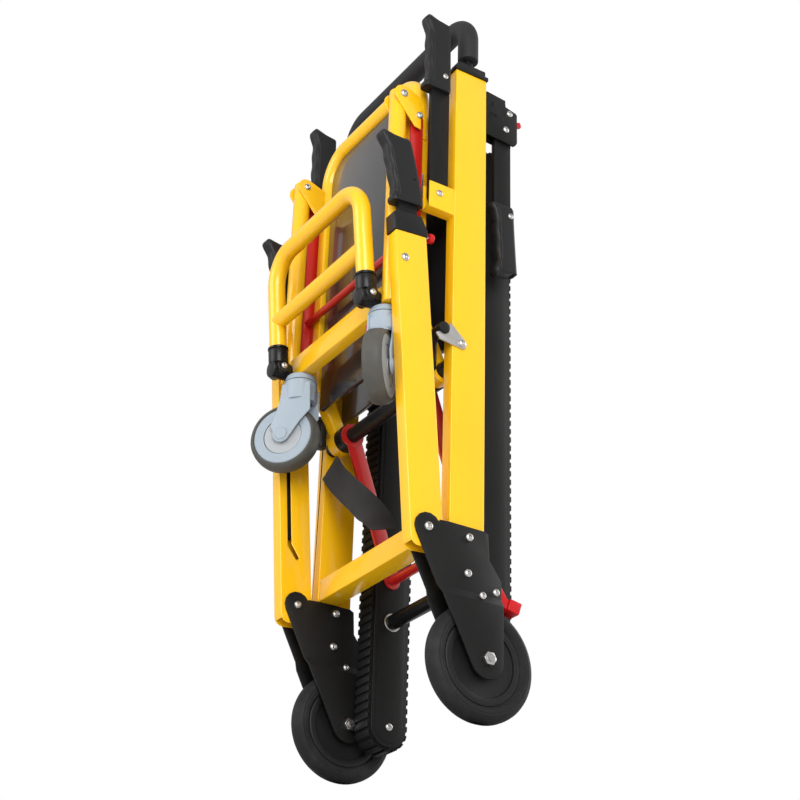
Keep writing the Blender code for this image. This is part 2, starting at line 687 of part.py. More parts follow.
def footrest(legs):
    """U-shaped tube with a middle bar, on two black clamps."""
    hinge = axis_at("footrest_axis", in_legs((0, FOOT_Y, FOOT_Z)), legs, FOOT_LEAN)
    start = 0.022
    corners = [(-FOOT_X, 0, start), (-FOOT_X, 0, FOOT_LENGTH), (FOOT_X, 0, FOOT_LENGTH), (FOOT_X, 0, start)]
    loop = tube(rounded_path(corners, FOOT_BEND), FOOT_R)
    bar = rod((-FOOT_X, 0, FOOT_BAR_AT), (FOOT_X, 0, FOOT_BAR_AT), FOOT_R - 0.001)
    fused("footrest_loop", [loop, bar], [], "yellow", hinge)
    for side, sign in sides_of_chair():
        x = sign * FOOT_X
        socket = rod((x, 0, 0.0), (x, 0, 0.034), FOOT_R + 0.0025, 16)
        eye = rod((x - 0.0135, 0, 0), (x + 0.0135, 0, 0), 0.0105, 16)
        room = rod((x, 0, start - TOUCH), (x, 0, 0.05), FOOT_R + TOUCH)
        fused(f"footrest_clamp_{side}", [eye, socket], [room], "black_plastic", hinge)


def lock_frame(seat):
    """Two red flat bars and a round cross rod behind the legs."""
    hinge = axis_at("lock_axis", in_seat((0, LOCK_Y, LOCK_TOP)), seat)
    half = LOCK_W / 2
    bars = []
    for _side, sign in sides_of_chair():
        outline = arc((0, 0), half, 0, 180, 6) + arc((0, LOCK_BOTTOM - LOCK_TOP), half, 180, 360, 6)
        bars.append(slab(outline, sign * LOCK_X - LOCK_T / 2, sign * LOCK_X + LOCK_T / 2))
    # The rod passes in front of the seat's rails, between them and the legs.
    reach = LOCK_X
    rod_z = LOCK_ROD_Z - LOCK_TOP
    rod_y = RAIL_FRONT_Y - LOCK_ROD_R - RUN - LOCK_Y
    cross = rod((-reach, rod_y, rod_z), (reach, rod_y, rod_z), LOCK_ROD_R, 12)
    fused("lock_frame", [bars[0], cross, bars[1]], [], "red", hinge)


# ---------------------------------------------------------------- front lifting arms
def lift_arm(side, sign):
    """Rectangular tube with a guide slot and a black end sleeve."""
    hinge = axis_at(f"arm_axis_{side}", (sign * UPRIGHT_X, ARM_Y, ARM_Z), None, ARM_LEAN)
    wide = ARM_W / 2
    deep = ARM_D / 2
    corner = 0.012
    low = arc((-deep + corner, -0.014), corner, 180, 270, 4) + arc((deep - corner, -0.014), corner, 270, 360, 4)
    body = slab(low + [(deep, ARM_LENGTH), (-deep, ARM_LENGTH)], -wide, wide)
    bore = box((-wide + ARM_WALL, -deep + ARM_WALL, -0.05), (wide - ARM_WALL, deep - ARM_WALL, ARM_LENGTH + 0.01))
    inner = -sign * wide
    hook = [(SLOT_Y + SLOT_W, SLOT_LOW + 0.004), (SLOT_Y + 0.018, SLOT_LOW - 0.016),
            (SLOT_Y + 0.013, SLOT_LOW - 0.019), (SLOT_Y, SLOT_LOW)]
    slot = slab([(SLOT_Y, SLOT_HIGH), (SLOT_Y + SLOT_W, SLOT_HIGH)] + hook,
                min(inner - 0.004, inner + 0.004), max(inner - 0.004, inner + 0.004))
    fused(f"lift_arm_{side}", [body], [bore, slot], "yellow", hinge)
    arm_sleeve(side, sign, hinge)
    arm_extension(side, sign, hinge)
    plunger(side, sign, hinge)


def arm_sleeve(side, sign, hinge):
    """Stepped black cap over the arm's end, with a hole for the sliding bar."""
    wide = SLEEVE_W / 2
    deep = SLEEVE_D / 2
    low = ARM_LENGTH + TOUCH
    outline = [(-deep, low), (deep, low), (deep, low + 0.010), (deep - 0.008, low + SLEEVE_H),
               (-deep + 0.008, low + SLEEVE_H), (-deep, low + SLEEVE_H - 0.003)]
    cap = slab(outline, -wide, wide)
    x = sign * (ARM_GRIP_X - UPRIGHT_X)
    play = 0.0004
    hole = box((x - ARM_BAR_T / 2 - play, -ARM_BAR_D / 2 - play, low - 0.01),
               (x + ARM_BAR_T / 2 + play, ARM_BAR_D / 2 + play, low + SLEEVE_H + 0.01))
    fused(f"arm_sleeve_{side}", [cap], [hole], "black_plastic", hinge)


def arm_extension(side, sign, hinge):
    """Sliding flat bar with a pistol grip at its top and a guide pin at its foot."""
    x = sign * (ARM_GRIP_X - UPRIGHT_X)
    slider = axis_at(f"extension_axis_{side}", (x, 0, ARM_LENGTH), hinge)
    half = ARM_BAR_D / 2
    bar = box((-ARM_BAR_T / 2, -half, -0.318), (ARM_BAR_T / 2, half, 0.060))
    outline = handle_grip(0.050, 0.152, 0.024, -0.022, 0.013, 0.004)
    grip = slab(outline, -GRIP_W / 2, GRIP_W / 2)
    fused(f"arm_extension_{side}", [bar, grip], [], "black_plastic", slider)


def plunger(side, sign, hinge):
    """Red spring knob that locks the sliding bar, at the back of the sleeve."""
    x = sign * (ARM_GRIP_X - UPRIGHT_X)
    face = SLEEVE_D / 2
    knob_axis = axis_at(f"plunger_axis_{side}", (x, face, ARM_LENGTH + 0.006), hinge)
    stem = rod((0, TOUCH, 0), (0, 0.008, 0), 0.0028, 10)
    knob = rod((0, 0.006, 0), (0, 0.014, 0), KNOB_R, 14)
    fused(f"plunger_knob_{side}", [stem, knob], [], "red", knob_axis)


# ---------------------------------------------------------------- tracks
TRACK_Y = TRACK_FRONT_Y + TRACK_R


def stadium(radius, steps=9):
    """Outline round both pulleys at the given radius, in the track hinge's frame."""
    low = (0.0, TRACK_LOW_Z - TRACK_HINGE_Z)
    high = (0.0, TRACK_HIGH_Z - TRACK_HINGE_Z)
    return arc(high, radius, 0, 180, steps) + arc(low, radius, 180, 360, steps)


def track_unit(side, sign, hinge):
    """Guard plates and core in one frame, with a belt and two pulleys inside it."""
    x = sign * TRACK_X
    half = TRACK_W / 2
    plate_r = TRACK_R - BELT_T + 0.002
    shapes = []
    for edge in (-1, 1):
        near = x + edge * (half + 0.0006)
        shapes.append(slab(stadium(plate_r), *sorted((near, near + edge * TRACK_GUARD_T))))
    core_r = TRACK_R - BELT_T - 0.003
    low = TRACK_LOW_Z - TRACK_HINGE_Z + core_r + 0.008
    high = TRACK_HIGH_Z - TRACK_HINGE_Z - core_r - 0.008
    core = box((x - half - 0.002, -core_r, low), (x + half + 0.002, core_r, high))
    fused(f"track_frame_{side}", [core] + shapes, [], "black_steel", hinge)
    belt = slab(stadium(TRACK_R), x - half, x + half)
    inside = slab(stadium(TRACK_R - BELT_T), x - half - 0.01, x + half + 0.01)
    fused(f"track_belt_{side}", [belt], [inside], "rubber", hinge)
    for where, height in (("lower", TRACK_LOW_Z), ("upper", TRACK_HIGH_Z)):
        place = (x, 0, height - TRACK_HINGE_Z)
        spin = axis_at(f"pulley_axis_{where}_{side}", place, hinge)
        pulley_r = TRACK_R - BELT_T - 0.0006
        wheel = turned([(half - 0.001, 0.0), (half - 0.001, pulley_r), (-half + 0.001, pulley_r),
                        (-half + 0.001, 0.0)], 18)
        piece(f"track_pulley_{where}_{side}", wheel, "grey_plastic", spin)


def tracks():
    hinge = axis_at("track_axis", (0.0, TRACK_Y, TRACK_HINGE_Z))
    reach = TRACK_X - TRACK_W / 2 - 0.0006 - TRACK_GUARD_T - TOUCH
    for side, sign in sides_of_chair():
        track_unit(side, sign, hinge)
    piece("track_hinge_tube", rod((-reach, 0, 0), (reach, 0, 0), TRACK_TUBE_R), "black_steel", hinge)


def track_strut():
    """Red frame on the seat axle, of two flat bars and a foot rod, that props the tracks open."""
    hinge = axis_at("strut_axis", (0.0, SEAT_HINGE_Y, SEAT_HINGE_Z))
    foot = (STRUT_FOOT_Y - SEAT_HINGE_Y, STRUT_FOOT_Z - SEAT_HINGE_Z)
    angle = math.degrees(math.atan2(foot[1], foot[0]))
    half = STRUT_W / 2
    bars = []
    bores = []
    for _side, sign in sides_of_chair():
        outline = arc((0, 0), STRUT_EYE_R, angle + 70, angle + 290, 10)
        outline += arc(foot, half, angle - 90, angle + 90, 6)
        x = sign * STRUT_X
        bars.append(slab(outline, x - STRUT_T / 2, x + STRUT_T / 2))
        bores.append(rod((x - STRUT_T, 0, 0), (x + STRUT_T, 0, 0), SEAT_AXLE_R + RUN / 2, 18))
    cross = rod((-STRUT_X, *foot), (STRUT_X, *foot), 0.007, 12)
    fused("track_strut", [bars[0], cross, bars[1]], bores, "red", hinge)


# ---------------------------------------------------------------- safety belt
def safety_belt():
    """A loose strap from the left upright to the back of the lower crossbar, plain here."""
    route = [(-INNER_X + TOUCH + 0.009, 0.004, 0.424), (-0.118, -0.006, 0.398),
             (-0.090, -0.006, 0.366), (-0.045, -0.004, 0.326), (-0.008, -0.004, 0.300)]
    bm = bmesh.new()
    rings = []
    for point in route:
        centre = Vector(point)
        wide = Vector((0.45, 0.10, 0.89)).normalized() * BELT_WIDTH / 2
        thick = Vector((0.0, BELT_THICK / 2, 0.0))
        rings.append([bm.verts.new(centre + a * wide + b * thick) for a, b in
                      ((-1, -1), (1, -1), (1, 1), (-1, 1))])
    for one, other in zip(rings, rings[1:]):
        for step in range(4):
            after = (step + 1) % 4
            bm.faces.new((one[step], one[after], other[after], other[step]))
    bm.faces.new(rings[0])
    bm.faces.new(rings[-1])
    piece("safety_belt", bm, "webbing")


# ---------------------------------------------------------------- assembly
def centre_on_ground():
    """Move everything so that the bounding box's middle lies on the Z axis."""
    bpy.context.view_layer.update()
    graph = bpy.context.evaluated_depsgraph_get()
    low = Vector((9.0, 9.0, 9.0))
    high = -low
    for obj in bpy.data.objects:
        if obj.type != "MESH" or obj.hide_render:
            continue
        for vertex in obj.evaluated_get(graph).data.vertices:
            point = obj.matrix_world @ vertex.co
            low = Vector(map(min, low, point))
            high = Vector(map(max, high, point))
    shift = Vector((-(low.x + high.x) / 2, -(low.y + high.y) / 2, -low.z))
    for obj in bpy.data.objects:
        if obj.parent is None:
            obj.location = obj.location + shift
    print("shift", [round(value, 6) for value in shift])


def build():
    clear_scene()
    for side, sign in sides_of_chair():
        upright(side, sign)
        upright_cap(side, sign)
        gussets(side, sign)
        lift_bracket(side, sign)
        rear_wheel(side, sign)
        brake_pedal(side, sign)
        armrest(side, sign)
        lift_handle(side, sign)
        lift_release(side, sign)
        lift_arm(side, sign)
    cross_members()
    back_panel()
    push_handle()
    seat = seat_hinge_axis()
    legs = axis_at("leg_axis", in_seat((0, LEG_Y, LEG_HINGE_Z)), seat)
    for side, sign in sides_of_chair():
        hinge_plate(side, sign, seat)
        leg(side, sign, legs)
        caster(side, sign, legs)
    seat_frame(seat)
    seat_board(seat)
    leg_crossbar(legs)
    footrest(legs)
    lock_frame(seat)
    tracks()
    track_strut()
    safety_belt()
    centre_on_ground()


build()
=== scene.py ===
# %% [markdown]
# # A folded stair chair
# A stair chair carries a seated person down a staircase on two rubber tracks. Here it is folded flat
# and stands on its rear wheels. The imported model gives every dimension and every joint. This script
# gives the pieces their rounded edges, bolts, grips, treads and finishes.
#
# Lengths are in metres. In the drawing frame used below, x = 0 is the middle of the chair, y = 0 is
# the front face of the two uprights, and z = 0 is the floor.

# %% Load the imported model
import json
import math

import bmesh
import bpy
from mathutils import Matrix, Vector

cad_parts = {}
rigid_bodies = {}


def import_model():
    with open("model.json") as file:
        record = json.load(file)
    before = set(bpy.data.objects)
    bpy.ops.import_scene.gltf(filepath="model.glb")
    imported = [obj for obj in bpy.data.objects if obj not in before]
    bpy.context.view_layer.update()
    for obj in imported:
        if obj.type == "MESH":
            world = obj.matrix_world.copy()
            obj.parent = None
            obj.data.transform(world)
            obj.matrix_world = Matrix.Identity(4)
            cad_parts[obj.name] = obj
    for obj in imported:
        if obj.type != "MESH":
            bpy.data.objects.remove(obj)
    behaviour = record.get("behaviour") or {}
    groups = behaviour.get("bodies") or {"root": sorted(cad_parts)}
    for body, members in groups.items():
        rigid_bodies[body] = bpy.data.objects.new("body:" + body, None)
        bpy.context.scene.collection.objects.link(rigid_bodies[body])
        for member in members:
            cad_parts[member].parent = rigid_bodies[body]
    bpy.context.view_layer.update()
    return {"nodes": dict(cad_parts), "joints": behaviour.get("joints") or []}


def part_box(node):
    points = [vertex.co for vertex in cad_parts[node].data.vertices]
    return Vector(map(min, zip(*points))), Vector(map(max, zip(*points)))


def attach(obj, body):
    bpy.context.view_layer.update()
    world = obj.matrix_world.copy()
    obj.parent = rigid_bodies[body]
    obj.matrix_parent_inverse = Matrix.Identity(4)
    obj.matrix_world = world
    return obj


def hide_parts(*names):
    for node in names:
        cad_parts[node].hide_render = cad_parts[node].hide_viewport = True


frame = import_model()


FRONT = float(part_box("lower_crossbar")[0][1])      # where the uprights' front face is in the model
SIDES = (("left", -1.0), ("right", 1.0))
joints = {joint["name"]: joint for joint in frame["joints"]}

# %% [markdown]
# ## Camera
# The chair is seen from low down at its front right corner, through a long lens that keeps its
# upright tubes almost parallel. The camera is below the floor's level, so the floor is a sheet that
# is only visible from above.

# %% Camera
CAMERA_PLACE = Vector((1.7609, -1.0519 + FRONT, -0.6089))
CAMERA_TURN = math.radians(58.47)
CAMERA_RISE = math.radians(-28.22)
CAMERA_ROLL = math.radians(1.84)


def camera_axes():
    """Columns: right, up and back of the camera."""
    back = Vector((math.sin(CAMERA_TURN) * math.cos(CAMERA_RISE),
                   -math.cos(CAMERA_TURN) * math.cos(CAMERA_RISE), math.sin(CAMERA_RISE)))
    level = Vector((math.cos(CAMERA_TURN), math.sin(CAMERA_TURN), 0.0))
    over = back.cross(level)
    c, s = math.cos(CAMERA_ROLL), math.sin(CAMERA_ROLL)
    return Matrix((level * c + over * s, over * c - level * s, back)).transposed()


lens = bpy.data.cameras.new("camera")
lens.lens = 75.94
lens.sensor_width = 36.0
lens.clip_end = 50.0
camera = bpy.data.objects.new("camera", lens)
camera.matrix_world = Matrix.Translation(CAMERA_PLACE) @ camera_axes().to_4x4()
bpy.context.scene.collection.objects.link(camera)
bpy.context.scene.camera = camera
bpy.context.scene.view_settings.view_transform = "Standard"
print("camera at", [round(v, 3) for v in camera.location])

# %% [markdown]
# ## Shader sums as Python
# A finish is easier to read as a formula than as a web of nodes. `Term` wraps one socket, and adding
# or multiplying terms adds the Math nodes that do it. `Finish` holds one material.

# %% Shader helpers


class Term:
    """One output socket, with arithmetic."""

    def __init__(self, finish, socket):
        self.finish = finish
        self.socket = socket

    def _sum(self, operation, first, second):
        return self.finish.node("ShaderNodeMath", {"operation": operation}, {0: first, 1: second})

    def __add__(self, other):
        return self._sum("ADD", self, other)

    __radd__ = __add__

    def __sub__(self, other):
        return self._sum("SUBTRACT", self, other)

    def __rsub__(self, other):
        return self._sum("SUBTRACT", other, self)

    def __mul__(self, other):
        return self._sum("MULTIPLY", self, other)

    __rmul__ = __mul__

    def clamped(self, low, high):
        """0 below low, 1 above high, straight between."""
        values = {0: self, 1: low, 2: high, 3: 0.0, 4: 1.0}
        return self.finish.node("ShaderNodeMapRange", {"clamp": True}, values)


class Finish:
    """A material with its Principled shader."""

    def __init__(self, name, roughness=0.5, metallic=0.0, coat=0.0, specular=0.5):
        self.material = bpy.data.materials.new(name)
        self.material.use_nodes = True
        self.tree = self.material.node_tree
        self.shader = self.tree.nodes["Principled BSDF"]
        self.set("Roughness", roughness)
        self.set("Metallic", metallic)
        self.set("Coat Weight", coat)
        self.set("Coat Roughness", 0.06)
        self.set("Specular IOR Level", specular)
        place = self.tree.nodes.new("ShaderNodeTexCoord")
        self.place = Term(self, place.outputs["Object"])
        self.uv = Term(self, place.outputs["UV"])

    def _put(self, socket, value):
        if isinstance(value, Term):
            self.tree.links.new(value.socket, socket)
        else:
            socket.default_value = value

    def set(self, name, value):
        self._put(self.shader.inputs[name], value)

    def node(self, kind, settings, values, output=0):
        """Adds a node. Settings go in before the sockets' values, since they can rename sockets."""
        made = self.tree.nodes.new(kind)
        for key, value in settings.items():
            setattr(made, key, value)
        for key, value in values.items():
            self._put(made.inputs[key], value)
        return Term(self, made.outputs[output])

    def noise(self, scale, detail=3.0, rough=0.5, place=None):
        values = {"Vector": place or self.place, "Scale": scale, "Detail": detail, "Roughness": rough}
        return self.node("ShaderNodeTexNoise", {}, values)

    def stretched(self, scales):
        """Object coordinates stretched along each axis."""
        return self.node("ShaderNodeMapping", {}, {"Vector": self.place, "Scale": scales})

    def mix(self, amount, first, second):
        """A colour between two colours."""
        values = {0: amount, 6: first, 7: second}
        return self.node("ShaderNodeMix", {"data_type": "RGBA"}, values, 2)

    def bump(self, height, distance, strength=1.0):
        self.set("Normal", self.node("ShaderNodeBump", {}, {
            "Height": height, "Distance": distance, "Strength": strength}))


def rgb(red, green, blue):
    return (red, green, blue, 1.0)


# %% [markdown]
# ## Finishes
# The frame is powder coated: the paint melts in an oven and leaves a skin with a faint orange peel.
# A fine noise bump gives the peel, and a broad one changes the colour by a few percent, as the
# thickness of the coat does. The black steel plates have a rougher, sandy coat.

# %% Paint


def gloss_paint(name, colour, deep, roughness=0.26):
    paint = Finish(name, coat=0.35)
    broad = paint.noise(7.0, 2.0)
    grain = paint.noise(420.0, 2.0)
    peel = paint.noise(260.0, 1.0)
    paint.set("Base Color", paint.mix(broad.clamped(0.25, 0.75) * 0.55, colour, deep))
    paint.set("Roughness", grain * 0.06 + (roughness - 0.03))
    paint.bump(peel * 0.8 + grain * 0.2, 0.00005, 0.30)
    return paint.material


def sand_paint(name, colour, roughness=0.42):
    paint = Finish(name, specular=0.2)
    grit = paint.noise(1500.0, 3.0, 0.6)
    broad = paint.noise(14.0, 3.0)
    light = tuple(channel * 1.9 for channel in colour[:3]) + (1.0,)
    paint.set("Base Color", paint.mix(broad.clamped(0.3, 0.8) * 0.6, colour, light))
    paint.set("Roughness", grit * 0.16 + (roughness - 0.06))
    paint.bump(grit, 0.00008, 0.55)
    return paint.material


YELLOW = gloss_paint("yellow_powder_coat", rgb(0.92, 0.505, 0.004), rgb(0.88, 0.46, 0.003))
RED = gloss_paint("red_powder_coat", rgb(0.52, 0.012, 0.009), rgb(0.40, 0.008, 0.008), 0.34)
BLACK_STEEL = sand_paint("black_textured_coat", rgb(0.0058, 0.0056, 0.0054), 0.44)
BLACK_GLOSS = sand_paint("black_tube_coat", rgb(0.0055, 0.0055, 0.006), 0.26)

# %% [markdown]
# ## Plastics and rubber
# Moulded plastic keeps the eroded texture of its mould: a tight, even grain. Tyre rubber is duller and
# picks up pale dust, which lies in patches. The foam sleeve has open pores that a Voronoi texture
# gives well, because its cells are round and evenly spread.

# %% Moulded finishes


def moulded(name, colour, roughness, grain_scale=1100.0, depth=0.00006, patch=0.35):
    plastic = Finish(name, specular=0.28)
    grain = plastic.noise(grain_scale, 2.0)
    broad = plastic.noise(18.0, 3.0)
    light = tuple(min(1.0, channel * 1.35 + 0.004) for channel in colour[:3]) + (1.0,)
    plastic.set("Base Color", plastic.mix(broad.clamped(0.35, 0.8) * patch, colour, light))
    plastic.set("Roughness", grain * 0.12 + (roughness - 0.06))
    plastic.bump(grain, depth, 0.5)
    return plastic.material


def tyre_rubber(name, colour, dust, roughness=0.62):
    rubber = Finish(name, specular=0.2)
    patches = rubber.noise(26.0, 5.0, 0.6).clamped(0.45, 0.75)
    grain = rubber.noise(900.0, 3.0)
    rubber.set("Base Color", rubber.mix(patches * 0.5 + grain * 0.15, colour, dust))
    rubber.set("Roughness", grain * 0.18 + (roughness - 0.08))
    rubber.bump(grain, 0.00012, 0.6)
    return rubber.material


def foam_skin(name, colour):
    foam = Finish(name, specular=0.3)
    cells = foam.node("ShaderNodeTexVoronoi", {}, {"Vector": foam.place, "Scale": 900.0})
    broad = foam.noise(30.0, 3.0)
    light = tuple(channel * 1.5 for channel in colour[:3]) + (1.0,)
    foam.set("Base Color", foam.mix(broad.clamped(0.3, 0.8) * 0.5, colour, light))
    foam.set("Roughness", cells * 0.2 + 0.55)
    foam.bump(cells, 0.00015, 0.5)
    return foam.material


GRIP_PLASTIC = moulded("black_grip_plastic", rgb(0.0085, 0.0080, 0.0085), 0.46)
CAP_PLASTIC = moulded("black_cap_plastic", rgb(0.0065, 0.0065, 0.0068), 0.40, 700.0)
CLAMP_PLASTIC = moulded("black_clamp_plastic", rgb(0.0060, 0.0060, 0.0060), 0.28, 500.0)
GREY_PLASTIC = moulded("blue_grey_plastic", rgb(0.30, 0.355, 0.405), 0.42, 900.0, 0.00004, 0.2)
GREY_DISC = moulded("pale_disc_plastic", rgb(0.35, 0.37, 0.39), 0.48, 700.0, 0.00006, 0.3)
HUB_PLASTIC = moulded("black_hub_plastic", rgb(0.0070, 0.0068, 0.0068), 0.42, 600.0, 0.00008, 0.5)
RED_PLASTIC = moulded("red_lever_plastic", rgb(0.48, 0.009, 0.011), 0.34, 500.0)
TYRE = tyre_rubber("dark_tyre_rubber", rgb(0.010, 0.010, 0.0105), rgb(0.036, 0.034, 0.036))
CASTER_TYRE = tyre_rubber("grey_tyre_rubber", rgb(0.070, 0.068, 0.060), rgb(0.11, 0.105, 0.095), 0.5)
BELT_RUBBER = tyre_rubber("belt_rubber", rgb(0.0065, 0.0065, 0.007), rgb(0.016, 0.016, 0.016), 0.55)
FOAM = foam_skin("black_foam_skin", rgb(0.016, 0.0155, 0.0165))

# %% [markdown]
# ## Metal, board and webbing
# Bolts are stainless steel with lathe marks. The seat board is a dark sheet with a clear, slightly
# wavy skin, so it mirrors the studio softly. The webbing is woven: its ribs run across the strap, and
# two sine waves on the strap's own map give the ribs and the finer herringbone.

# %% Metal, board, webbing


def steel(name, tint, roughness):
    metal = Finish(name, metallic=1.0)
    marks = metal.noise(1.0, 3.0, 0.6, metal.stretched((90.0, 900.0, 900.0)))
    metal.set("Base Color", metal.mix(marks * 0.5, tint, rgb(0.36, 0.35, 0.34)))
    metal.set("Roughness", marks * 0.20 + (roughness - 0.08))
    metal.bump(marks, 0.00004, 0.4)
    return metal.material


def board_skin(name):
    board = Finish(name, coat=0.6, specular=0.6)
    wave = board.noise(9.0, 2.0)
    fine = board.noise(650.0, 2.0)
    board.set("Base Color", board.mix(wave.clamped(0.3, 0.7), rgb(0.014, 0.013, 0.0135), rgb(0.024, 0.022, 0.024)))
    board.set("Roughness", fine * 0.10 + 0.20)
    board.bump(wave + fine * 0.02, 0.0006, 0.25)
    return board.material


def woven(name, colour, light):
    cloth = Finish(name, specular=0.25)
    cloth.set("Sheen Weight", 0.08)
    ribs = cloth.node("ShaderNodeTexWave", {"wave_type": "BANDS", "bands_direction": "Y"},
                      {"Vector": cloth.uv, "Scale": 200.0})
    twill = cloth.node("ShaderNodeTexWave", {"wave_type": "BANDS", "bands_direction": "DIAGONAL"},
                       {"Vector": cloth.uv, "Scale": 260.0})
    slubs = cloth.noise(300.0, 3.0)
    weave = ribs * 0.6 + twill * 0.4
    cloth.set("Base Color", cloth.mix(weave * 0.6 + slubs * 0.4, colour, light))
    cloth.set("Roughness", slubs * 0.2 + 0.65)
    cloth.bump(weave + slubs * 0.3, 0.0003, 0.7)
    return cloth.material


BOLT_STEEL = steel("stainless_bolts", rgb(0.60, 0.585, 0.57), 0.26)
PLATE_STEEL = steel("stainless_plate", rgb(0.66, 0.65, 0.63), 0.34)
WIRE_STEEL = steel("bright_wire", rgb(0.80, 0.80, 0.80), 0.22)
BOARD = board_skin("board_skin")
WEBBING = woven("black_webbing", rgb(0.0050, 0.0045, 0.0047), rgb(0.016, 0.0145, 0.0145))
print("finishes", len(bpy.data.materials))

# %% [markdown]
# ## Mesh helpers
# Every piece is drawn in the drawing frame and moved to the model's frame as it is finished. Real
# edges are never sharp, and a narrow bevel catches the light, so most pieces get one.

# %% Finish a piece
ROUND_LIMIT = math.radians(32)


def tidy(bm):
    """Merge what touches, and turn every face outwards."""
    bmesh.ops.remove_doubles(bm, verts=bm.verts, dist=0.000002)
    bmesh.ops.recalc_face_normals(bm, faces=bm.faces)
    return bm


def as_piece(name, bm, body, finish, stands_for=(), shift=FRONT, limit=ROUND_LIMIT):
    """A finished piece: at the origin, smooth shaded, riding on its body."""
    bm.transform(Matrix.Translation((0.0, shift, 0.0)))
    mesh = bpy.data.meshes.new(name)
    bm.to_mesh(mesh)
    bm.free()
    mesh.shade_smooth()
    mesh.set_sharp_from_angle(angle=limit)
    return as_object(name, mesh, body, finish, stands_for)


def as_object(name, mesh, body, finish, stands_for=()):
    obj = bpy.data.objects.new(name, mesh)
    bpy.context.scene.collection.objects.link(obj)
    mesh.materials.clear()
    mesh.materials.append(finish)
    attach(obj, body)
    if stands_for:
        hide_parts(*stands_for)
    return obj


def soften(bm, width, segments=2, angle=25):
    """Bevel every edge that turns by more than an angle."""
    sharp = [edge for edge in bm.edges
             if edge.is_manifold and edge.calc_face_angle() > math.radians(angle)]
    bmesh.ops.bevel(bm, geom=sharp, offset=width, segments=segments, profile=0.5,
                    affect="EDGES", clamp_overlap=True)
    return bm


def from_model(node, width=0.0, segments=2):
    """A copy of a model node, merged and with softened edges. It is in the model's frame."""
    bm = bmesh.new()
    bm.from_mesh(frame["nodes"][node].data)
    bmesh.ops.remove_doubles(bm, verts=bm.verts, dist=0.00002)
    bmesh.ops.dissolve_limit(bm, angle_limit=math.radians(0.6), verts=bm.verts, edges=bm.edges)
    if width:
        soften(bm, width, segments)
    return bm


def softened(node, body, finish, width=0.0009, segments=2, name=None):
    bm = from_model(node, width, segments)
    return as_piece(name or f"{node}_shape", bm, body, finish, (node,), shift=0.0)


# %% Shapes


def slab(outline, x0, x1):
    """A (y, z) outline given thickness along X."""
    bm = bmesh.new()
    face = bm.faces.new([bm.verts.new((x0, y, z)) for y, z in outline])
    grown = bmesh.ops.extrude_face_region(bm, geom=[face])["geom"]
    verts = [item for item in grown if isinstance(item, bmesh.types.BMVert)]
    bmesh.ops.translate(bm, verts=verts, vec=(x1 - x0, 0.0, 0.0))
    return tidy(bm)


def box(low, high):
    bm = bmesh.new()
    bmesh.ops.create_cube(bm, size=1.0)
    size = Vector(high) - Vector(low)
    bm.transform(Matrix.Translation((Vector(high) + Vector(low)) / 2) @ Matrix.Diagonal((*size, 1.0)))
    return bm


def arc(centre, radius, first, last, steps):
    """Points on a circle, angles in degrees from the first axis towards the second."""
    points = []
    for step in range(steps + 1):
        angle = math.radians(first + (last - first) * step / steps)
        points.append((centre[0] + radius * math.cos(angle), centre[1] + radius * math.sin(angle)))
    return points


def rounded_path(corners, bend, steps=14, spacing=0.02):
    """A polyline whose inner corners are arcs, with extra points along its straights."""
    corners = [Vector(corner) for corner in corners]
    path = [corners[0]]
    for before, corner, after in zip(corners, corners[1:], corners[2:]):
        to_before = (before - corner).normalized()
        to_after = (after - corner).normalized()
        half = to_before.angle(to_after) / 2
        centre = corner + (to_before + to_after).normalized() * bend / math.sin(half)
        start = corner + to_before * bend / math.tan(half) - centre
        end = corner + to_after * bend / math.tan(half) - centre
        sweep = start.angle(end)
        for step in range(steps + 1):
            t = step / steps
            near = math.sin((1 - t) * sweep) / math.sin(sweep)
            far = math.sin(t * sweep) / math.sin(sweep)
            path.append(centre + start * near + end * far)
    path.append(corners[-1])
    filled = [path[0]]
    for one, other in zip(path, path[1:]):
        count = max(1, int((other - one).length / spacing))
        for step in range(1, count + 1):
            filled.append(one.lerp(other, step / count))
    return filled


def swept(path, section, side=None, closed_ends=True):
    """Carry a closed section of (across, up) points along a path. Sizes may vary: section may be a
    function of the position along the path from 0 to 1."""
    path = [Vector(point) for point in path]
    lengths = [0.0]
    for one, other in zip(path, path[1:]):
        lengths.append(lengths[-1] + (other - one).length)
    bm = bmesh.new()
    rings = []
    for index, point in enumerate(path):
        along = (path[min(index + 1, len(path) - 1)] - path[max(index - 1, 0)]).normalized()
        if side is None:
            side = along.orthogonal().normalized()
        side = (Vector(side) - along * Vector(side).dot(along)).normalized()
        up = along.cross(side)
        here = section(lengths[index] / lengths[-1]) if callable(section) else section
        rings.append([bm.verts.new(point + side * a + up * b) for a, b in here])
    count = len(rings[0])
    for one, other in zip(rings, rings[1:]):
        for step in range(count):
            after = (step + 1) % count
            bm.faces.new((one[step], one[after], other[after], other[step]))
    if closed_ends:
        bm.faces.new(rings[0])
        bm.faces.new(rings[-1])
    return tidy(bm)


def circle(radius, sides=36):
    return [(radius * math.cos(2 * math.pi * step / sides), radius * math.sin(2 * math.pi * step / sides))
            for step in range(sides)]


def turned(profile, sides=64):
    """A solid turned about X from (x, radius) points whose ends lie on the axis."""
    bm = bmesh.new()
    verts = [bm.verts.new((x, 0.0, radius)) for x, radius in profile]
    edges = [bm.edges.new(pair) for pair in zip(verts, verts[1:])]
    bmesh.ops.spin(bm, geom=verts + edges, cent=(0, 0, 0), axis=(1, 0, 0), angle=2 * math.pi,
                   steps=sides, use_merge=True)
    return tidy(bm)


def joined(*meshes):
    """Several shapes in one mesh."""
    bm = meshes[0]
    for other in meshes[1:]:
        copy = bpy.data.meshes.new("part")
        other.to_mesh(copy)
        other.free()
        bm.from_mesh(copy)
        bpy.data.meshes.remove(copy)
    return bm


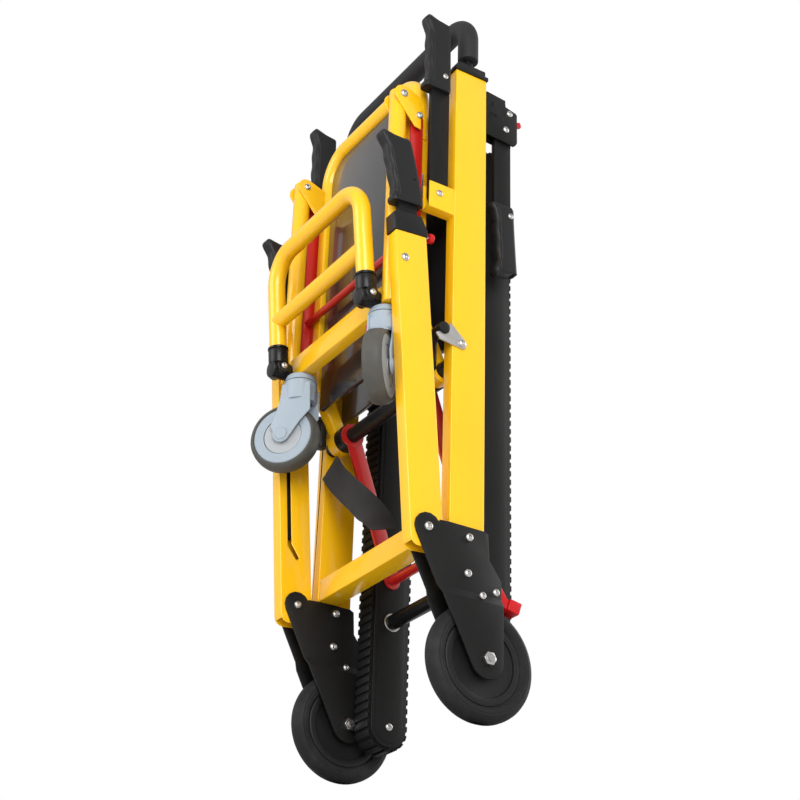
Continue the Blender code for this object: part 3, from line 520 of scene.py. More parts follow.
def placed(bm, matrix):
    bm.transform(matrix)
    return bm


def shifted(bm, x=0.0, y=0.0, z=0.0):
    return placed(bm, Matrix.Translation((x, y, z)))


def rounded_rectangle(width, height, corner, steps=4):
    a, b = width / 2 - corner, height / 2 - corner
    points = []
    for cx, cy, first in ((a, b, 0), (-a, b, 90), (-a, -b, 180), (a, -b, 270)):
        points += arc((cx, cy), corner, first, first + 90, steps)
    return points


# %% [markdown]
# ## Bolts by geometry nodes
# About seventy screws hold the chair together. One node tree puts a screw head on each vertex of a
# point mesh: the vertex stores which way the screw faces and how big it is. The tree ends in real
# geometry, which is copied to one plain mesh for each moving body.

# %% Screw heads


def button_head():
    """A low dome of radius 1 with a hexagonal socket. It faces +Z."""
    bm = bmesh.new()
    rings = []
    for radius, height in ((1.0, 0.0), (1.0, 0.10), (0.93, 0.32), (0.76, 0.50), (0.55, 0.58)):
        rings.append([bm.verts.new((radius * x, radius * y, height)) for x, y in circle(1.0, 24)])
    for radius, height in ((0.50, 0.56), (0.48, 0.16)):
        ring = []
        for x, y in circle(1.0, 24):
            turn = (math.atan2(y, x) + math.pi / 6) % (math.pi / 3) - math.pi / 6
            hexagon = radius * math.cos(math.pi / 6) / math.cos(turn)
            ring.append(bm.verts.new((hexagon * x, hexagon * y, height)))
        rings.append(ring)
    for one, other in zip(rings, rings[1:]):
        for step in range(24):
            after = (step + 1) % 24
            bm.faces.new((one[step], one[after], other[after], other[step]))
    bm.faces.new(rings[0])
    bm.faces.new(rings[-1])
    return tidy(bm)


def hexagon_nut():
    """A nut of radius 1 across its corners, with a threaded end in it. It faces +Z."""
    nut = bmesh.new()
    bmesh.ops.create_cone(nut, cap_ends=True, segments=6, radius1=1.0, radius2=1.0, depth=0.8)
    nut.transform(Matrix.Translation((0, 0, 0.4)))
    soften(nut, 0.09, 2)
    end = bmesh.new()
    bmesh.ops.create_cone(end, cap_ends=True, segments=24, radius1=0.55, radius2=0.50, depth=1.1)
    end.transform(Matrix.Translation((0, 0, 0.55)))
    return joined(nut, end)


def library_shape(name, bm):
    mesh = bpy.data.meshes.new(name)
    bm.to_mesh(mesh)
    bm.free()
    mesh.shade_smooth()
    mesh.set_sharp_from_angle(angle=math.radians(30))
    return bpy.data.objects.new(name, mesh)


HEADS = {"button": library_shape("button_head", button_head()), "nut": library_shape("nut", hexagon_nut())}

# %% The screw tree


def screw_tree():
    """Inputs: points with 'facing' and 'size', the head to use, and its finish."""
    tree = bpy.data.node_groups.new("screws", "GeometryNodeTree")
    face = tree.interface
    face.new_socket("Geometry", in_out="INPUT", socket_type="NodeSocketGeometry")
    face.new_socket("Head", in_out="INPUT", socket_type="NodeSocketObject")
    face.new_socket("Size", in_out="INPUT", socket_type="NodeSocketFloat").default_value = 1.0
    face.new_socket("Finish", in_out="INPUT", socket_type="NodeSocketMaterial")
    face.new_socket("Geometry", in_out="OUTPUT", socket_type="NodeSocketGeometry")
    new = tree.nodes.new
    given = new("NodeGroupInput")
    result = new("NodeGroupOutput")
    head = new("GeometryNodeObjectInfo")
    facing = new("GeometryNodeInputNamedAttribute")
    facing.data_type = "FLOAT_VECTOR"
    facing.inputs["Name"].default_value = "facing"
    size = new("GeometryNodeInputNamedAttribute")
    size.data_type = "FLOAT"
    size.inputs["Name"].default_value = "size"
    scale = new("ShaderNodeMath")
    scale.operation = "MULTIPLY"
    align = new("FunctionNodeAlignRotationToVector")
    align.axis = "Z"
    instance = new("GeometryNodeInstanceOnPoints")
    real = new("GeometryNodeRealizeInstances")
    paint = new("GeometryNodeSetMaterial")
    link = tree.links.new
    link(given.outputs["Head"], head.inputs["Object"])
    link(facing.outputs["Attribute"], align.inputs["Vector"])
    link(size.outputs["Attribute"], scale.inputs[0])
    link(given.outputs["Size"], scale.inputs[1])
    link(given.outputs["Geometry"], instance.inputs["Points"])
    link(head.outputs["Geometry"], instance.inputs["Instance"])
    link(align.outputs["Rotation"], instance.inputs["Rotation"])
    link(scale.outputs["Value"], instance.inputs["Scale"])
    link(instance.outputs["Instances"], real.inputs["Geometry"])
    link(real.outputs["Geometry"], paint.inputs["Geometry"])
    link(given.outputs["Finish"], paint.inputs["Material"])
    link(paint.outputs["Geometry"], result.inputs["Geometry"])
    return tree


SCREWS = screw_tree()


def tree_to_mesh(name, source, tree, values):
    """Run a tree on a mesh and return its result as a plain mesh."""
    shelf = bpy.context.scene.collection.objects
    helper = bpy.data.objects.new(name, source)
    shelf.link(helper)
    heads = [value for value in values.values() if isinstance(value, bpy.types.Object)]
    for head in heads:
        shelf.link(head)
    modifier = helper.modifiers.new("tree", "NODES")
    modifier.node_group = tree
    for socket in tree.interface.items_tree:
        if socket.in_out == "INPUT" and socket.name in values:
            modifier[socket.identifier] = values[socket.name]
    graph = bpy.context.evaluated_depsgraph_get()
    mesh = bpy.data.meshes.new_from_object(helper.evaluated_get(graph))
    for head in heads:
        shelf.unlink(head)
    bpy.data.objects.remove(helper)
    bpy.data.meshes.remove(source)
    mesh.name = name
    return mesh


def screws(name, body, places, head="button", finish=BOLT_STEEL, size=1.0):
    """Heads at (point, facing, radius) places in the drawing frame."""
    source = bpy.data.meshes.new(name + "_points")
    source.from_pydata([(x, y + FRONT, z) for (x, y, z), _facing, _radius in places], [], [])
    source.attributes.new("facing", "FLOAT_VECTOR", "POINT")
    source.attributes.new("size", "FLOAT", "POINT")
    for index, (_point, way, radius) in enumerate(places):
        source.attributes["facing"].data[index].vector = way
        source.attributes["size"].data[index].value = radius
    mesh = tree_to_mesh(name, source, SCREWS, {"Head": HEADS[head], "Size": size, "Finish": finish})
    obj = as_object(name, mesh, body, finish)
    print(name, len(places), "heads,", len(mesh.polygons), "faces")
    return obj


# %% [markdown]
# ## Uprights, cross members and fork plates
# These are straight tubes and folded plates, whose shape in the model is already right. Copying them
# and rounding their edges is enough. The tube's rounded corners are about 1.5 mm.

# %% Rear frame
for side, sign in SIDES:
    softened(f"upright_{side}", "frame", YELLOW, 0.0011, 3)
    softened(f"upright_cap_{side}", "frame", CAP_PLASTIC, 0.0010, 2)
    for place in ("outer", "inner"):
        softened(f"fork_plate_{place}_{side}", "frame", BLACK_STEEL, 0.0005, 2)
    softened(f"brake_pedal_{side}", f"brake_pedal_{side}", RED_PLASTIC, 0.0016, 3)
    softened(f"lift_release_{side}", f"lift_release_{side}", RED_PLASTIC, 0.0016, 3)
softened("lower_crossbar", "frame", YELLOW, 0.0014, 3)
softened("back_panel", "frame", BOARD, 0.0012, 2)

CROSS_HALF = 0.1522
for name, y, z, radius in (("upper_crossbar", 0.026, 0.905, 0.011), ("seat_axle", 0.010, 0.478, 0.011)):
    tube = swept([(-CROSS_HALF, y, z), (CROSS_HALF, y, z)], circle(radius))
    as_piece(f"{name}_tube", tube, "frame", BLACK_GLOSS, (name,))

# %% Brackets of the rear handles
BRACKET = [(0.0523, 0.9375), (0.0561, 0.9375), (0.0855, 0.9345), (0.0861, 0.9235), (0.1040, 0.9190),
           (0.1062, 0.9165), (0.1062, 0.8670), (0.1040, 0.8625), (0.1000, 0.8590), (0.0523, 0.8625)]


def bracket(sign):
    """An outer and an inner plate, joined by a web behind the upright."""
    shapes = [soften(slab(BRACKET, sign * low, sign * high), 0.0006, 2, 40)
              for low, high in ((0.1695, 0.1725), (0.1545, 0.1565))]
    web = box((min(sign * 0.1560, sign * 0.1700), 0.0523, 0.8640), (max(sign * 0.1560, sign * 0.1700), 0.0553, 0.9340))
    return joined(*shapes, web)


for side, sign in SIDES:
    as_piece(f"handle_bracket_{side}", bracket(sign), "frame", BLACK_STEEL,
             (f"lift_bracket_{side}",))

# %% Collars beside the seat rails
collars = []
for _side, sign in SIDES:
    near = 0.0985 if sign > 0 else -0.1168
    ring = [(0.0, 0.0113), (0.0, 0.0178), (0.0012, 0.0190), (0.0168, 0.0190), (0.0182, 0.0178), (0.0182, 0.0113),
            (0.0, 0.0113)]
    collars.append(shifted(turned(ring, 48), near, 0.010, 0.478))
as_piece("axle_collars", joined(*collars), "frame", CLAMP_PLASTIC)

# %% [markdown]
# ## Weld beads
# A weld is a row of overlapping drops. A thin tube whose radius ripples along its length gives the
# scale pattern, and it lies in the corner between the two pieces.

# %% Welds


def weld(start, end, radius=0.0017, pitch=0.0030):
    start, end = Vector(start), Vector(end)
    length = (end - start).length
    count = max(8, int(length / pitch * 5))
    path = [start.lerp(end, step / count) for step in range(count + 1)]

    def section(t):
        ripple = abs(math.sin(math.pi * t * length / pitch))
        taper = min(1.0, 8 * t + 0.35, 8 * (1 - t) + 0.35)
        return circle(radius * (0.72 + 0.28 * ripple) * taper, 10)
    return swept(path, section)


beads = []
for _side, sign in SIDES:
    inner = sign * 0.1523
    for z in (0.2415, 0.2735):
        beads.append(weld((inner, 0.002, z), (inner, 0.028, z)))
    for y in (0.0002, 0.0298):
        beads.append(weld((inner, y, 0.2430), (inner, y, 0.2720)))
    for x in (sign * 0.1545, sign * 0.1725):
        beads.append(weld((x, -0.0004, 0.7030), (x, -0.0004, 0.7420), 0.0014))
as_piece("frame_welds", joined(*beads), "frame", YELLOW)

# %% [markdown]
# ## Rear wheels
# Each wheel is turned: a rubber tyre with two raised lines at its shoulder, then a plastic hub whose
# disc is dished between a rim ring and the axle boss. Turning a profile about the axle is how such a
# mould is cut, so the same profile gives the same grooves.

# %% Wheels
WHEEL_R = 0.075


def wheel_profiles():
    half = 0.013
    tyre = [(0.0, 0.0545), (half - 0.0045, 0.0545), (half - 0.0030, 0.0560), (half - 0.0008, 0.0580),
            (half - 0.0008, 0.0600), (half - 0.0002, 0.0606), (half, 0.0630), (half - 0.0006, 0.0638),
            (half - 0.0004, 0.0662), (half - 0.0014, 0.0678), (half - 0.0030, 0.0705),
            (half - 0.0062, 0.0736), (half - 0.0095, 0.0748), (0.0, WHEEL_R)]
    hub = [(0.0155, 0.0), (0.0155, 0.0110), (0.0148, 0.0125), (0.0105, 0.0150), (0.0082, 0.0170),
           (0.0068, 0.0420), (0.0074, 0.0440), (0.0098, 0.0452), (0.0102, 0.0462), (0.0100, 0.0530),
           (0.0094, 0.0542), (0.0075, 0.0548), (0.0, 0.0548)]
    return tyre, hub


for side, sign in SIDES:
    body = f"rear_wheel_{side}"
    tyre, hub = wheel_profiles()
    tyre = tyre + [(-x, radius) for x, radius in reversed(tyre[:-1])]
    hub = hub + [(-x, radius) for x, radius in reversed(hub[:-1])]
    centre = {"x": sign * 0.1625, "y": 0.052, "z": 0.075}
    as_piece(f"rear_tyre_{side}", shifted(turned(tyre, 96), **centre), body, TYRE, (body,))
    as_piece(f"rear_hub_{side}", shifted(turned(hub, 96), **centre), body, HUB_PLASTIC)

# %% [markdown]
# ## Tubes of the seat, legs and footrest
# Round tubes are swept along their bent centre lines, each with a circle as its section. The seat's
# side rails are flat outlines given thickness, with softened edges.

# %% Seat tubes
RAIL_X = 0.1275
LOOP_Y = -0.032
LOOP_R = 0.0125
SEAT_HINGE = (0.010, 0.478)


def across_loop(half, y, low, high):
    return [(-half, y, low), (-half, y, high), (half, y, high), (half, y, low)]


def rail(sign):
    hub_r = 0.0175
    knee = 0.560
    slope = Vector((SEAT_HINGE[0] - LOOP_Y, SEAT_HINGE[1] - knee)).normalized()
    normal = Vector((-slope.y, slope.x)) * 0.009
    end = Vector(SEAT_HINGE) - slope * (hub_r - 0.004)
    outline = [(-0.042, 0.846), (-0.042, knee - 0.004), (end.x - normal.x, end.y - normal.y),
               (end.x + normal.x, end.y + normal.y), (-0.022, knee + 0.008), (-0.022, 0.846)]
    bar = soften(slab(outline, sign * RAIL_X - 0.010, sign * RAIL_X + 0.010), 0.0022, 3)
    ring = [(-0.0098, 0.0116), (-0.0098, 0.0168), (-0.0092, 0.0175), (0.0092, 0.0175), (0.0098, 0.0168),
            (0.0098, 0.0116), (-0.0098, 0.0116)]
    return bar, shifted(turned(ring, 48), sign * RAIL_X, *SEAT_HINGE)


tubes = [swept(rounded_path(across_loop(RAIL_X, LOOP_Y, 0.836, 0.953), 0.048), circle(LOOP_R))]
for _side, sign in SIDES:
    tubes += rail(sign)
as_piece("seat_tubes", joined(*tubes), "seat", YELLOW, ("seat_frame",))
softened("seat_board", "seat", BOARD, 0.0016, 3)
for side, sign in SIDES:
    softened(f"hinge_plate_{side}", "seat", YELLOW, 0.0006, 2)

# %% Legs
LEG_X, LEG_Y = 0.137, -0.0745
for side, sign in SIDES:
    leg = swept([(sign * LEG_X, LEG_Y, 0.552), (sign * LEG_X, LEG_Y, 0.8995)], circle(LOOP_R))
    as_piece(f"leg_tube_{side}", soften(leg, 0.0008, 2, 60), "legs", YELLOW, (f"leg_{side}",))
softened("leg_crossbar", "legs", YELLOW, 0.0022, 3)
beads = [weld((sign * 0.1245, y, 0.552), (sign * 0.1245, y, 0.582), 0.0014)
         for _side, sign in SIDES for y in (-0.0815, -0.0625)]
as_piece("leg_welds", joined(*beads), "legs", YELLOW)

# %% [markdown]
# ## Footrest
# The footrest is a U of round tube with a second bar welded across it. It leans forward a little, so
# it is drawn upright about its hinge and then tipped. Two black clamps hold its feet: each is a cross
# tube round the pivot and a socket for the tube.

# %% Footrest
FOOT_HINGE = (-0.102, 0.560)
FOOT_X = 0.120
tipped = Matrix.Translation((0.0, *FOOT_HINGE)) @ Matrix.Rotation(math.radians(5.6), 4, "X")
foot = joined(swept(rounded_path(across_loop(FOOT_X, 0.0, 0.0225, 0.176), 0.045), circle(LOOP_R)),
              swept([(-FOOT_X, 0, 0.076), (FOOT_X, 0, 0.076)], circle(0.0115)))
as_piece("footrest_tubes", placed(foot, tipped), "footrest", YELLOW, ("footrest_loop",))

for side, sign in SIDES:
    x = sign * FOOT_X
    eye = soften(swept([(x - 0.0165, 0, 0), (x + 0.0165, 0, 0)], circle(0.0095)), 0.0012, 3, 60)
    barrel = soften(swept([(x, -0.0135, -0.001), (x, 0.0165, -0.001)], circle(0.0125)), 0.0014, 3, 60)
    socket = soften(swept([(x, 0, 0.008), (x, 0, 0.030)], circle(0.0143)), 0.0012, 3, 60)
    rim = soften(swept([(x, 0, 0.0305), (x, 0, 0.0340)], circle(0.0150)), 0.0008, 2, 60)
    clamp = placed(joined(eye, barrel, socket, rim), tipped)
    as_piece(f"footrest_clamp_body_{side}", clamp, "footrest", CLAMP_PLASTIC,
             (f"footrest_clamp_{side}",))

# %% [markdown]
# ## Push handle
# A bent steel tube slides in the uprights, and a foam sleeve covers its visible part. The sleeve is a
# sweep closed at both ends, with softened edges.

# %% Push handle
PUSH_Y = 0.026
steel_path = rounded_path(across_loop(0.1625, PUSH_Y, 0.654, 1.062), 0.040)
as_piece("push_tube_shape", swept(steel_path, circle(0.0072, 28)), "push_handle", BLACK_GLOSS,
         ("push_handle_tube",))
sleeve_path = rounded_path(across_loop(0.1625, PUSH_Y, 0.984, 1.062), 0.040, 18)
sleeve = swept(sleeve_path, circle(0.0150, 40))
as_piece("push_sleeve_foam", soften(sleeve, 0.0018, 3, 60), "push_handle", FOAM,
         ("push_handle_sleeve",))

# %% [markdown]
# ## Hand grips
# Six grips share one shape: a rounded bar, flat at the back, with four finger waves in front, a hooked
# nose at the top and a small hook at the bottom. It is a stack of rounded rectangles whose front and
# back follow two curves. A fine ridge runs down each side where the two halves of the mould met.

# %% Grip shape


def smooth(points, t):
    """Piecewise smooth interpolation through (t, value) points."""
    for (t0, v0), (t1, v1) in zip(points, points[1:]):
        if t <= t1:
            u = (t - t0) / (t1 - t0)
            return v0 + (v1 - v0) * u * u * (3 - 2 * u)
    return points[-1][1]


def grip(bottom, top, back, front, reach, hook, half_width=0.0100, wave=0.0007):
    """The grip stands on Z in its own frame, and its finger side faces -Y."""
    height = top - bottom
    rings = []
    levels = 64
    for level in range(levels + 1):
        t = level / levels
        z = bottom + height * t
        lean = reach * (t ** 1.3)
        fingers = wave * math.cos(2 * math.pi * 4 * t) if 0.10 < t < 0.84 else 0.0
        nose = smooth([(0, 1.2), (0.05, 0.9), (0.12, 0.1), (0.20, 0), (0.78, 0), (0.93, 0.8), (1, 1.0)], t)
        near = back - lean
        far = front - lean - hook * nose + fingers
        crown = smooth([(0, 0.92), (0.03, 1), (0.94, 1), (1, 0.72)], t)
        width = half_width * smooth([(0, 0.94), (0.04, 1), (0.95, 1), (1, 0.70)], t)
        middle, deep = (near + far) / 2, (near - far) / 2 * crown
        drop = 0.012 * max(0.0, (t - 0.86) / 0.14) ** 2
        ring = []
        for a, b in rounded_rectangle(2 * width, 2 * deep, min(width, deep) * 0.62, 6):
            slope = b / max(deep, 0.001)
            ring.append((a, middle + b, z - drop * (slope + 1.0) * 0.5))
        rings.append(ring)
    bm = bmesh.new()
    loops = [[bm.verts.new(point) for point in ring] for ring in rings]
    count = len(loops[0])
    for one, other in zip(loops, loops[1:]):
        for step in range(count):
            after = (step + 1) % count
            bm.faces.new((one[step], one[after], other[after], other[step]))
    bm.faces.new(loops[0])
    bm.faces.new(loops[-1])
    return tidy(bm)


def ridge(bottom, top, front, reach, hook, x):
    """The raised mould line down one side of a grip."""
    height = top - bottom
    path = []
    for level in range(25):
        t = 0.06 + 0.86 * level / 24
        lean = reach * (t ** 1.3)
        nose = smooth([(0, 1.0), (0.13, 0.1), (0.20, 0), (0.72, 0), (0.90, 0.7), (1, 1.0)], t)
        path.append((x, front - lean - hook * nose + 0.0065, bottom + height * t))
    return swept(path, circle(0.0009, 8))


def grip_with_ridges(*shape):
    bottom, top, _back, front, reach, hook = shape
    return joined(grip(*shape), *(ridge(bottom, top, front, reach, hook, x) for x in (-0.0097, 0.0097)))


def flat_bar(width, thick, low, high):
    bar = box((-thick / 2, -width / 2, low), (thick / 2, width / 2, high))
    return soften(bar, 0.0009, 2)


def round_end_bar(width, thick, low, high, top_round=False):
    half = width / 2
    if top_round:
        outline = arc((0, 0), half, 0, 180, 16) + [(-half, low), (half, low)]
    else:
        outline = arc((0, 0), half, 180, 360, 16) + [(half, high), (-half, high)]
    return soften(slab(outline, -thick / 2, thick / 2), 0.0009, 2, 60)


# %% Armrests and rear handles
REST = (-0.023, 0.7265)
LIFT = (0.084, 0.882)
for side, sign in SIDES:
    body = f"armrest_{side}"
    place = Matrix.Translation((sign * 0.1635, *REST))
    bar = placed(round_end_bar(0.030, 0.008, 0.0, 0.200), place)
    as_piece(f"armrest_bar_{side}", bar, body, BLACK_STEEL, (body,))
    handle = placed(grip_with_ridges(0.179, 0.309, 0.0155, -0.0215, 0.002, 0.007), place)
    as_piece(f"armrest_grip_{side}", handle, body, GRIP_PLASTIC)
    body = f"lift_handle_{side}"
    place = Matrix.Translation((sign * 0.1635, *LIFT))
    bar = placed(round_end_bar(0.028, 0.008, -0.160, 0.0, True), place)
    as_piece(f"lift_bar_{side}", bar, body, BLACK_STEEL, (body,))
    flip = Matrix.Rotation(math.pi, 4, "X") @ Matrix.Diagonal((1.0, -1.0, 1.0, 1.0))
    handle = placed(grip_with_ridges(0.132, 0.248, 0.0175, -0.0150, -0.006, 0.006), place @ flip)
    as_piece(f"lift_grip_{side}", tidy(handle), body, GRIP_PLASTIC)

# %% [markdown]
# ## Front lifting arms
# Each arm is a rectangular tube that leans forward, with a black sleeve on its end. A flat bar slides
# out of the sleeve and carries a grip. A slot in the tube's inner face guides a pin, and it ends in a
# short hook. The shapes come from the model; the plunger's pin is added.

# %% Front arms
ARM_HINGE = (-0.033, 0.229)
ARM_LENGTH = 0.418
leaning = Matrix.Translation((0.0, *ARM_HINGE)) @ Matrix.Rotation(math.radians(4.8), 4, "X")
for side, sign in SIDES:
    arm = f"lift_arm_{side}"
    softened(arm, arm, YELLOW, 0.0012, 3)
    softened(f"arm_sleeve_{side}", arm, CAP_PLASTIC, 0.0012, 3)
    body = f"arm_extension_{side}"
    x = sign * 0.1635
    bar = flat_bar(0.028, 0.010, ARM_LENGTH - 0.318, ARM_LENGTH + 0.060)
    bar = placed(bar, leaning @ Matrix.Translation((x, 0, 0)))
    as_piece(f"sliding_bar_{side}", bar, body, BLACK_STEEL, (body,))
    handle = grip_with_ridges(0.048, 0.158, 0.024, -0.020, 0.016, 0.006)
    handle = placed(handle, leaning @ Matrix.Translation((x, 0, ARM_LENGTH)))
    as_piece(f"sliding_grip_{side}", handle, body, GRIP_PLASTIC)
    knob_place = leaning @ Matrix.Translation((x, 0.026, ARM_LENGTH + 0.006)) @ Matrix.Rotation(
        math.pi / 2, 4, "Z")
    stem = turned([(0.0003, 0.0), (0.0003, 0.0030), (0.0060, 0.0030), (0.0085, 0.0028), (0.0085, 0.0)], 24)
    knob = turned([(0.0060, 0.0), (0.0060, 0.0050), (0.0068, 0.0064), (0.0085, 0.0070), (0.0120, 0.0070),
                   (0.0136, 0.0062), (0.0142, 0.0045), (0.0142, 0.0)], 40)
    as_piece(f"plunger_stem_{side}", placed(stem, knob_place), f"plunger_{side}", BOLT_STEEL)
    as_piece(f"plunger_cap_{side}", placed(knob, knob_place), f"plunger_{side}", RED_PLASTIC,
             (f"plunger_knob_{side}",))

# %% [markdown]
# ## Red lock frame and strut
# Both are flat bars joined by a round rod, painted red. Two bent wires clip the lock frame's bars.

# %% Red links
LOCK = (-0.047, 0.862)


def capsule(first, last, half, x0, x1):
    """A flat bar with round ends between two (y, z) points."""
    turn = math.degrees(math.atan2(last[1] - first[1], last[0] - first[0]))
    outline = arc(first, half, turn + 90, turn + 270, 14) + arc(last, half, turn - 90, turn + 90, 14)
    return slab(outline, x0, x1)


bars = [swept([(-0.1435, -0.0487, 0.665), (0.1435, -0.0487, 0.665)], circle(0.0055, 28))]
for _side, sign in SIDES:
    bars.append(soften(capsule(LOCK, (LOCK[0], 0.600), 0.010, sign * 0.1435 - 0.002, sign * 0.1435 + 0.002), 0.0005))
as_piece("lock_frame_bars", joined(*bars), "lock", RED, ("lock_frame",))

strut_foot = (0.084, 0.274)
bars = [swept([(-0.096, *strut_foot), (0.096, *strut_foot)], circle(0.0070, 28))]
for _side, sign in SIDES:
    x0, x1 = sign * 0.096 - 0.002, sign * 0.096 + 0.002
    bars.append(soften(capsule(SEAT_HINGE, strut_foot, 0.012, x0, x1), 0.0005))
    ring = [(-0.0021, 0.0116), (-0.0021, 0.0175), (0.0021, 0.0175), (0.0021, 0.0116), (-0.0021, 0.0116)]
    bars.append(shifted(turned(ring, 40), sign * 0.096, *SEAT_HINGE))
as_piece("strut_bars", joined(*bars), "strut", RED, ("track_strut",))

wires = []
for _side, sign in SIDES:
    x = sign * 0.1462
    clip = [(x, -0.058, 0.790), (x, -0.058, 0.715), (x, -0.036, 0.709), (x, -0.036, 0.770)]
    wires.append(swept(rounded_path(clip, 0.004, 6, 0.01), circle(0.0011, 10)))
as_piece("lock_wire_clips", joined(*wires), "lock", WIRE_STEEL)

# %% [markdown]
# ## Casters
# Each caster has a round housing with a dark joint line, a fork that sweeps back to the wheel, and a
# wheel with a soft grey tyre. A cap covers the axle on each side.
# They are drawn pointing straight ahead, and then turned about the swivel to where they were parked.

# %% Caster parts
CASTER_TURN = {"left": math.radians(-50.0), "right": math.radians(45.0)}
CASTER_X = {"left": -0.107, "right": 0.119}
CASTER_TOP = (-0.072, 0.5497)
TRAIL = 0.018
DROP = 0.094
TYRE_R = 0.050


def upright_turned(profile, sides=48):
    """Turned about Z instead: the profile is (height, radius)."""
    return placed(turned(profile, sides), Matrix.Rotation(-math.pi / 2, 4, "Y"))


def fork_cheek(x0, x1):
    """Side wall of the fork: broad at the housing, narrowing to the axle cap."""
    axle = (-TRAIL, -DROP)
    outline = [(0.0215, -0.016), (-0.0215, -0.016), (-0.0225, -0.036), (-0.0250, -0.050)]
    outline += [(-0.0350, -0.080)] + arc(axle, 0.0130, 165, 320, 12)
    outline += [(0.0080, -0.0780), (0.0235, -0.0600), (0.0225, -0.040)]
    return soften(slab(outline, x0, x1), 0.0016, 3)


def caster_housing():
    top = upright_turned([(0.0, 0.0), (0.0, 0.0195), (-0.0015, 0.0212), (-0.0090, 0.0232), (-0.0100, 0.0232),
                          (-0.0100, 0.0)])
    groove = upright_turned([(-0.0099, 0.0), (-0.0099, 0.0218), (-0.0114, 0.0218), (-0.0114, 0.0)])
    neck = upright_turned([(-0.0113, 0.0), (-0.0113, 0.0232), (-0.0200, 0.0229), (-0.0340, 0.0224),
                           (-0.0400, 0.0215), (-0.0400, 0.0)])
    return joined(top, neck), groove


def caster_wheel_profiles():
    half = 0.014
    tyre = [(0.0, 0.0425), (half - 0.0020, 0.0425), (half - 0.0008, 0.0432), (half - 0.0008, 0.0448),
            (half - 0.0024, 0.0472), (half - 0.0060, 0.0492), (half - 0.0105, 0.0499), (0.0, TYRE_R)]
    rim = [(0.0118, 0.0283), (0.0122, 0.0300), (0.0124, 0.0412), (0.0112, 0.0427), (0.0, 0.0427), (0.0, 0.0283)]
    disc = [(0.0128, 0.0), (0.0128, 0.0080), (0.0116, 0.0098), (0.0112, 0.0270), (0.0106, 0.0276), (0.0, 0.0276)]
    ring = [(0.0100, 0.0270), (0.0100, 0.0288), (0.0, 0.0288), (0.0, 0.0270), (0.0100, 0.0270)]
    return tyre, rim, disc, ring


def mirrored_profile(profile):
    return profile + [(-x, radius) for x, radius in reversed(profile) if x > 0.0]


for side, sign in SIDES:
    swivel = Matrix.Translation((CASTER_X[side], *CASTER_TOP)) @ Matrix.Rotation(CASTER_TURN[side], 4, "Z")
    axle = swivel @ Matrix.Translation((0, -TRAIL, -DROP))
    fork, wheel = f"caster_{side}", f"caster_wheel_{side}"
    shell, groove = caster_housing()
    cheeks = [fork_cheek(x0, x1) for x0, x1 in ((0.0154, 0.0186), (-0.0186, -0.0154))]
    crown = soften(box((-0.0184, -0.0215, -0.040), (0.0184, 0.0215, -0.016)), 0.0060, 4)
    caps = [placed(turned([(0.0, 0.0), (0.0, 0.0095), (0.0012, 0.0095), (0.0022, 0.0080), (0.0022, 0.0)], 32),
                   Matrix.Translation((end * 0.0182, -TRAIL, -DROP)) @ Matrix.Diagonal((end, 1, 1, 1)))
            for end in (-1.0, 1.0)]
    body_shape = placed(tidy(joined(shell, crown, *cheeks, *caps)), swivel)
    as_piece(f"caster_shell_{side}", body_shape, fork, GREY_PLASTIC, (f"caster_fork_{side}",))
    as_piece(f"caster_groove_{side}", placed(groove, swivel), fork, CAP_PLASTIC)
    tab = soften(box((-0.0245, -0.006, -0.033), (-0.0200, 0.006, -0.021)), 0.0015, 3)
    as_piece(f"caster_tab_{side}", placed(tab, swivel), fork, RED_PLASTIC)
    tyre, rim, disc, ring = caster_wheel_profiles()
    as_piece(f"caster_tyre_{side}", placed(turned(mirrored_profile(tyre)), axle), wheel, CASTER_TYRE,
             (f"caster_wheel_{side}",))
    rims = turned(mirrored_profile(rim[:5]) + [rim[0]])
    as_piece(f"caster_rim_{side}", placed(rims, axle), wheel, GREY_PLASTIC)
    as_piece(f"caster_disc_{side}", placed(turned(mirrored_profile(disc)), axle), wheel, GREY_DISC)

# %% [markdown]
# ## Tracks
# A track is a ribbed rubber belt round two pulleys, between guard plates. The ribs are the same small
# bar many times over, so a geometry nodes tree puts one at every pitch along the belt's outline.

# %% Track frames
TRACK_X, TRACK_Y = 0.120, 0.088
TRACK_LOW, TRACK_HIGH = 0.068, 0.832
TRACK_R = 0.032
BELT_T = 0.007
RIB_PITCH = 0.0125


def stadium(radius, steps=24):
    return (arc((TRACK_Y, TRACK_HIGH), radius, 0, 180, steps)
            + arc((TRACK_Y, TRACK_LOW), radius, 180, 360, steps))


for side, sign in SIDES:
    x = sign * TRACK_X
    plates = []
    for edge in (-1, 1):
        near = x + edge * 0.0176
        plates.append(soften(slab(stadium(TRACK_R - BELT_T + 0.002), near, near + edge * 0.003), 0.0006, 2, 60))
        inset = near + edge * 0.0029
        fold = slab(stadium(TRACK_R - BELT_T - 0.0035), inset, inset + edge * 0.0009)
        plates.append(soften(fold, 0.0004, 2, 60))
    core = box((x - 0.0175, TRACK_Y - 0.020, TRACK_LOW + 0.030), (x + 0.0175, TRACK_Y + 0.020, TRACK_HIGH - 0.030))
    as_piece(f"track_plates_{side}", joined(*plates, core), "tracks", BLACK_STEEL,
             (f"track_frame_{side}",))

# %% Belt ribs


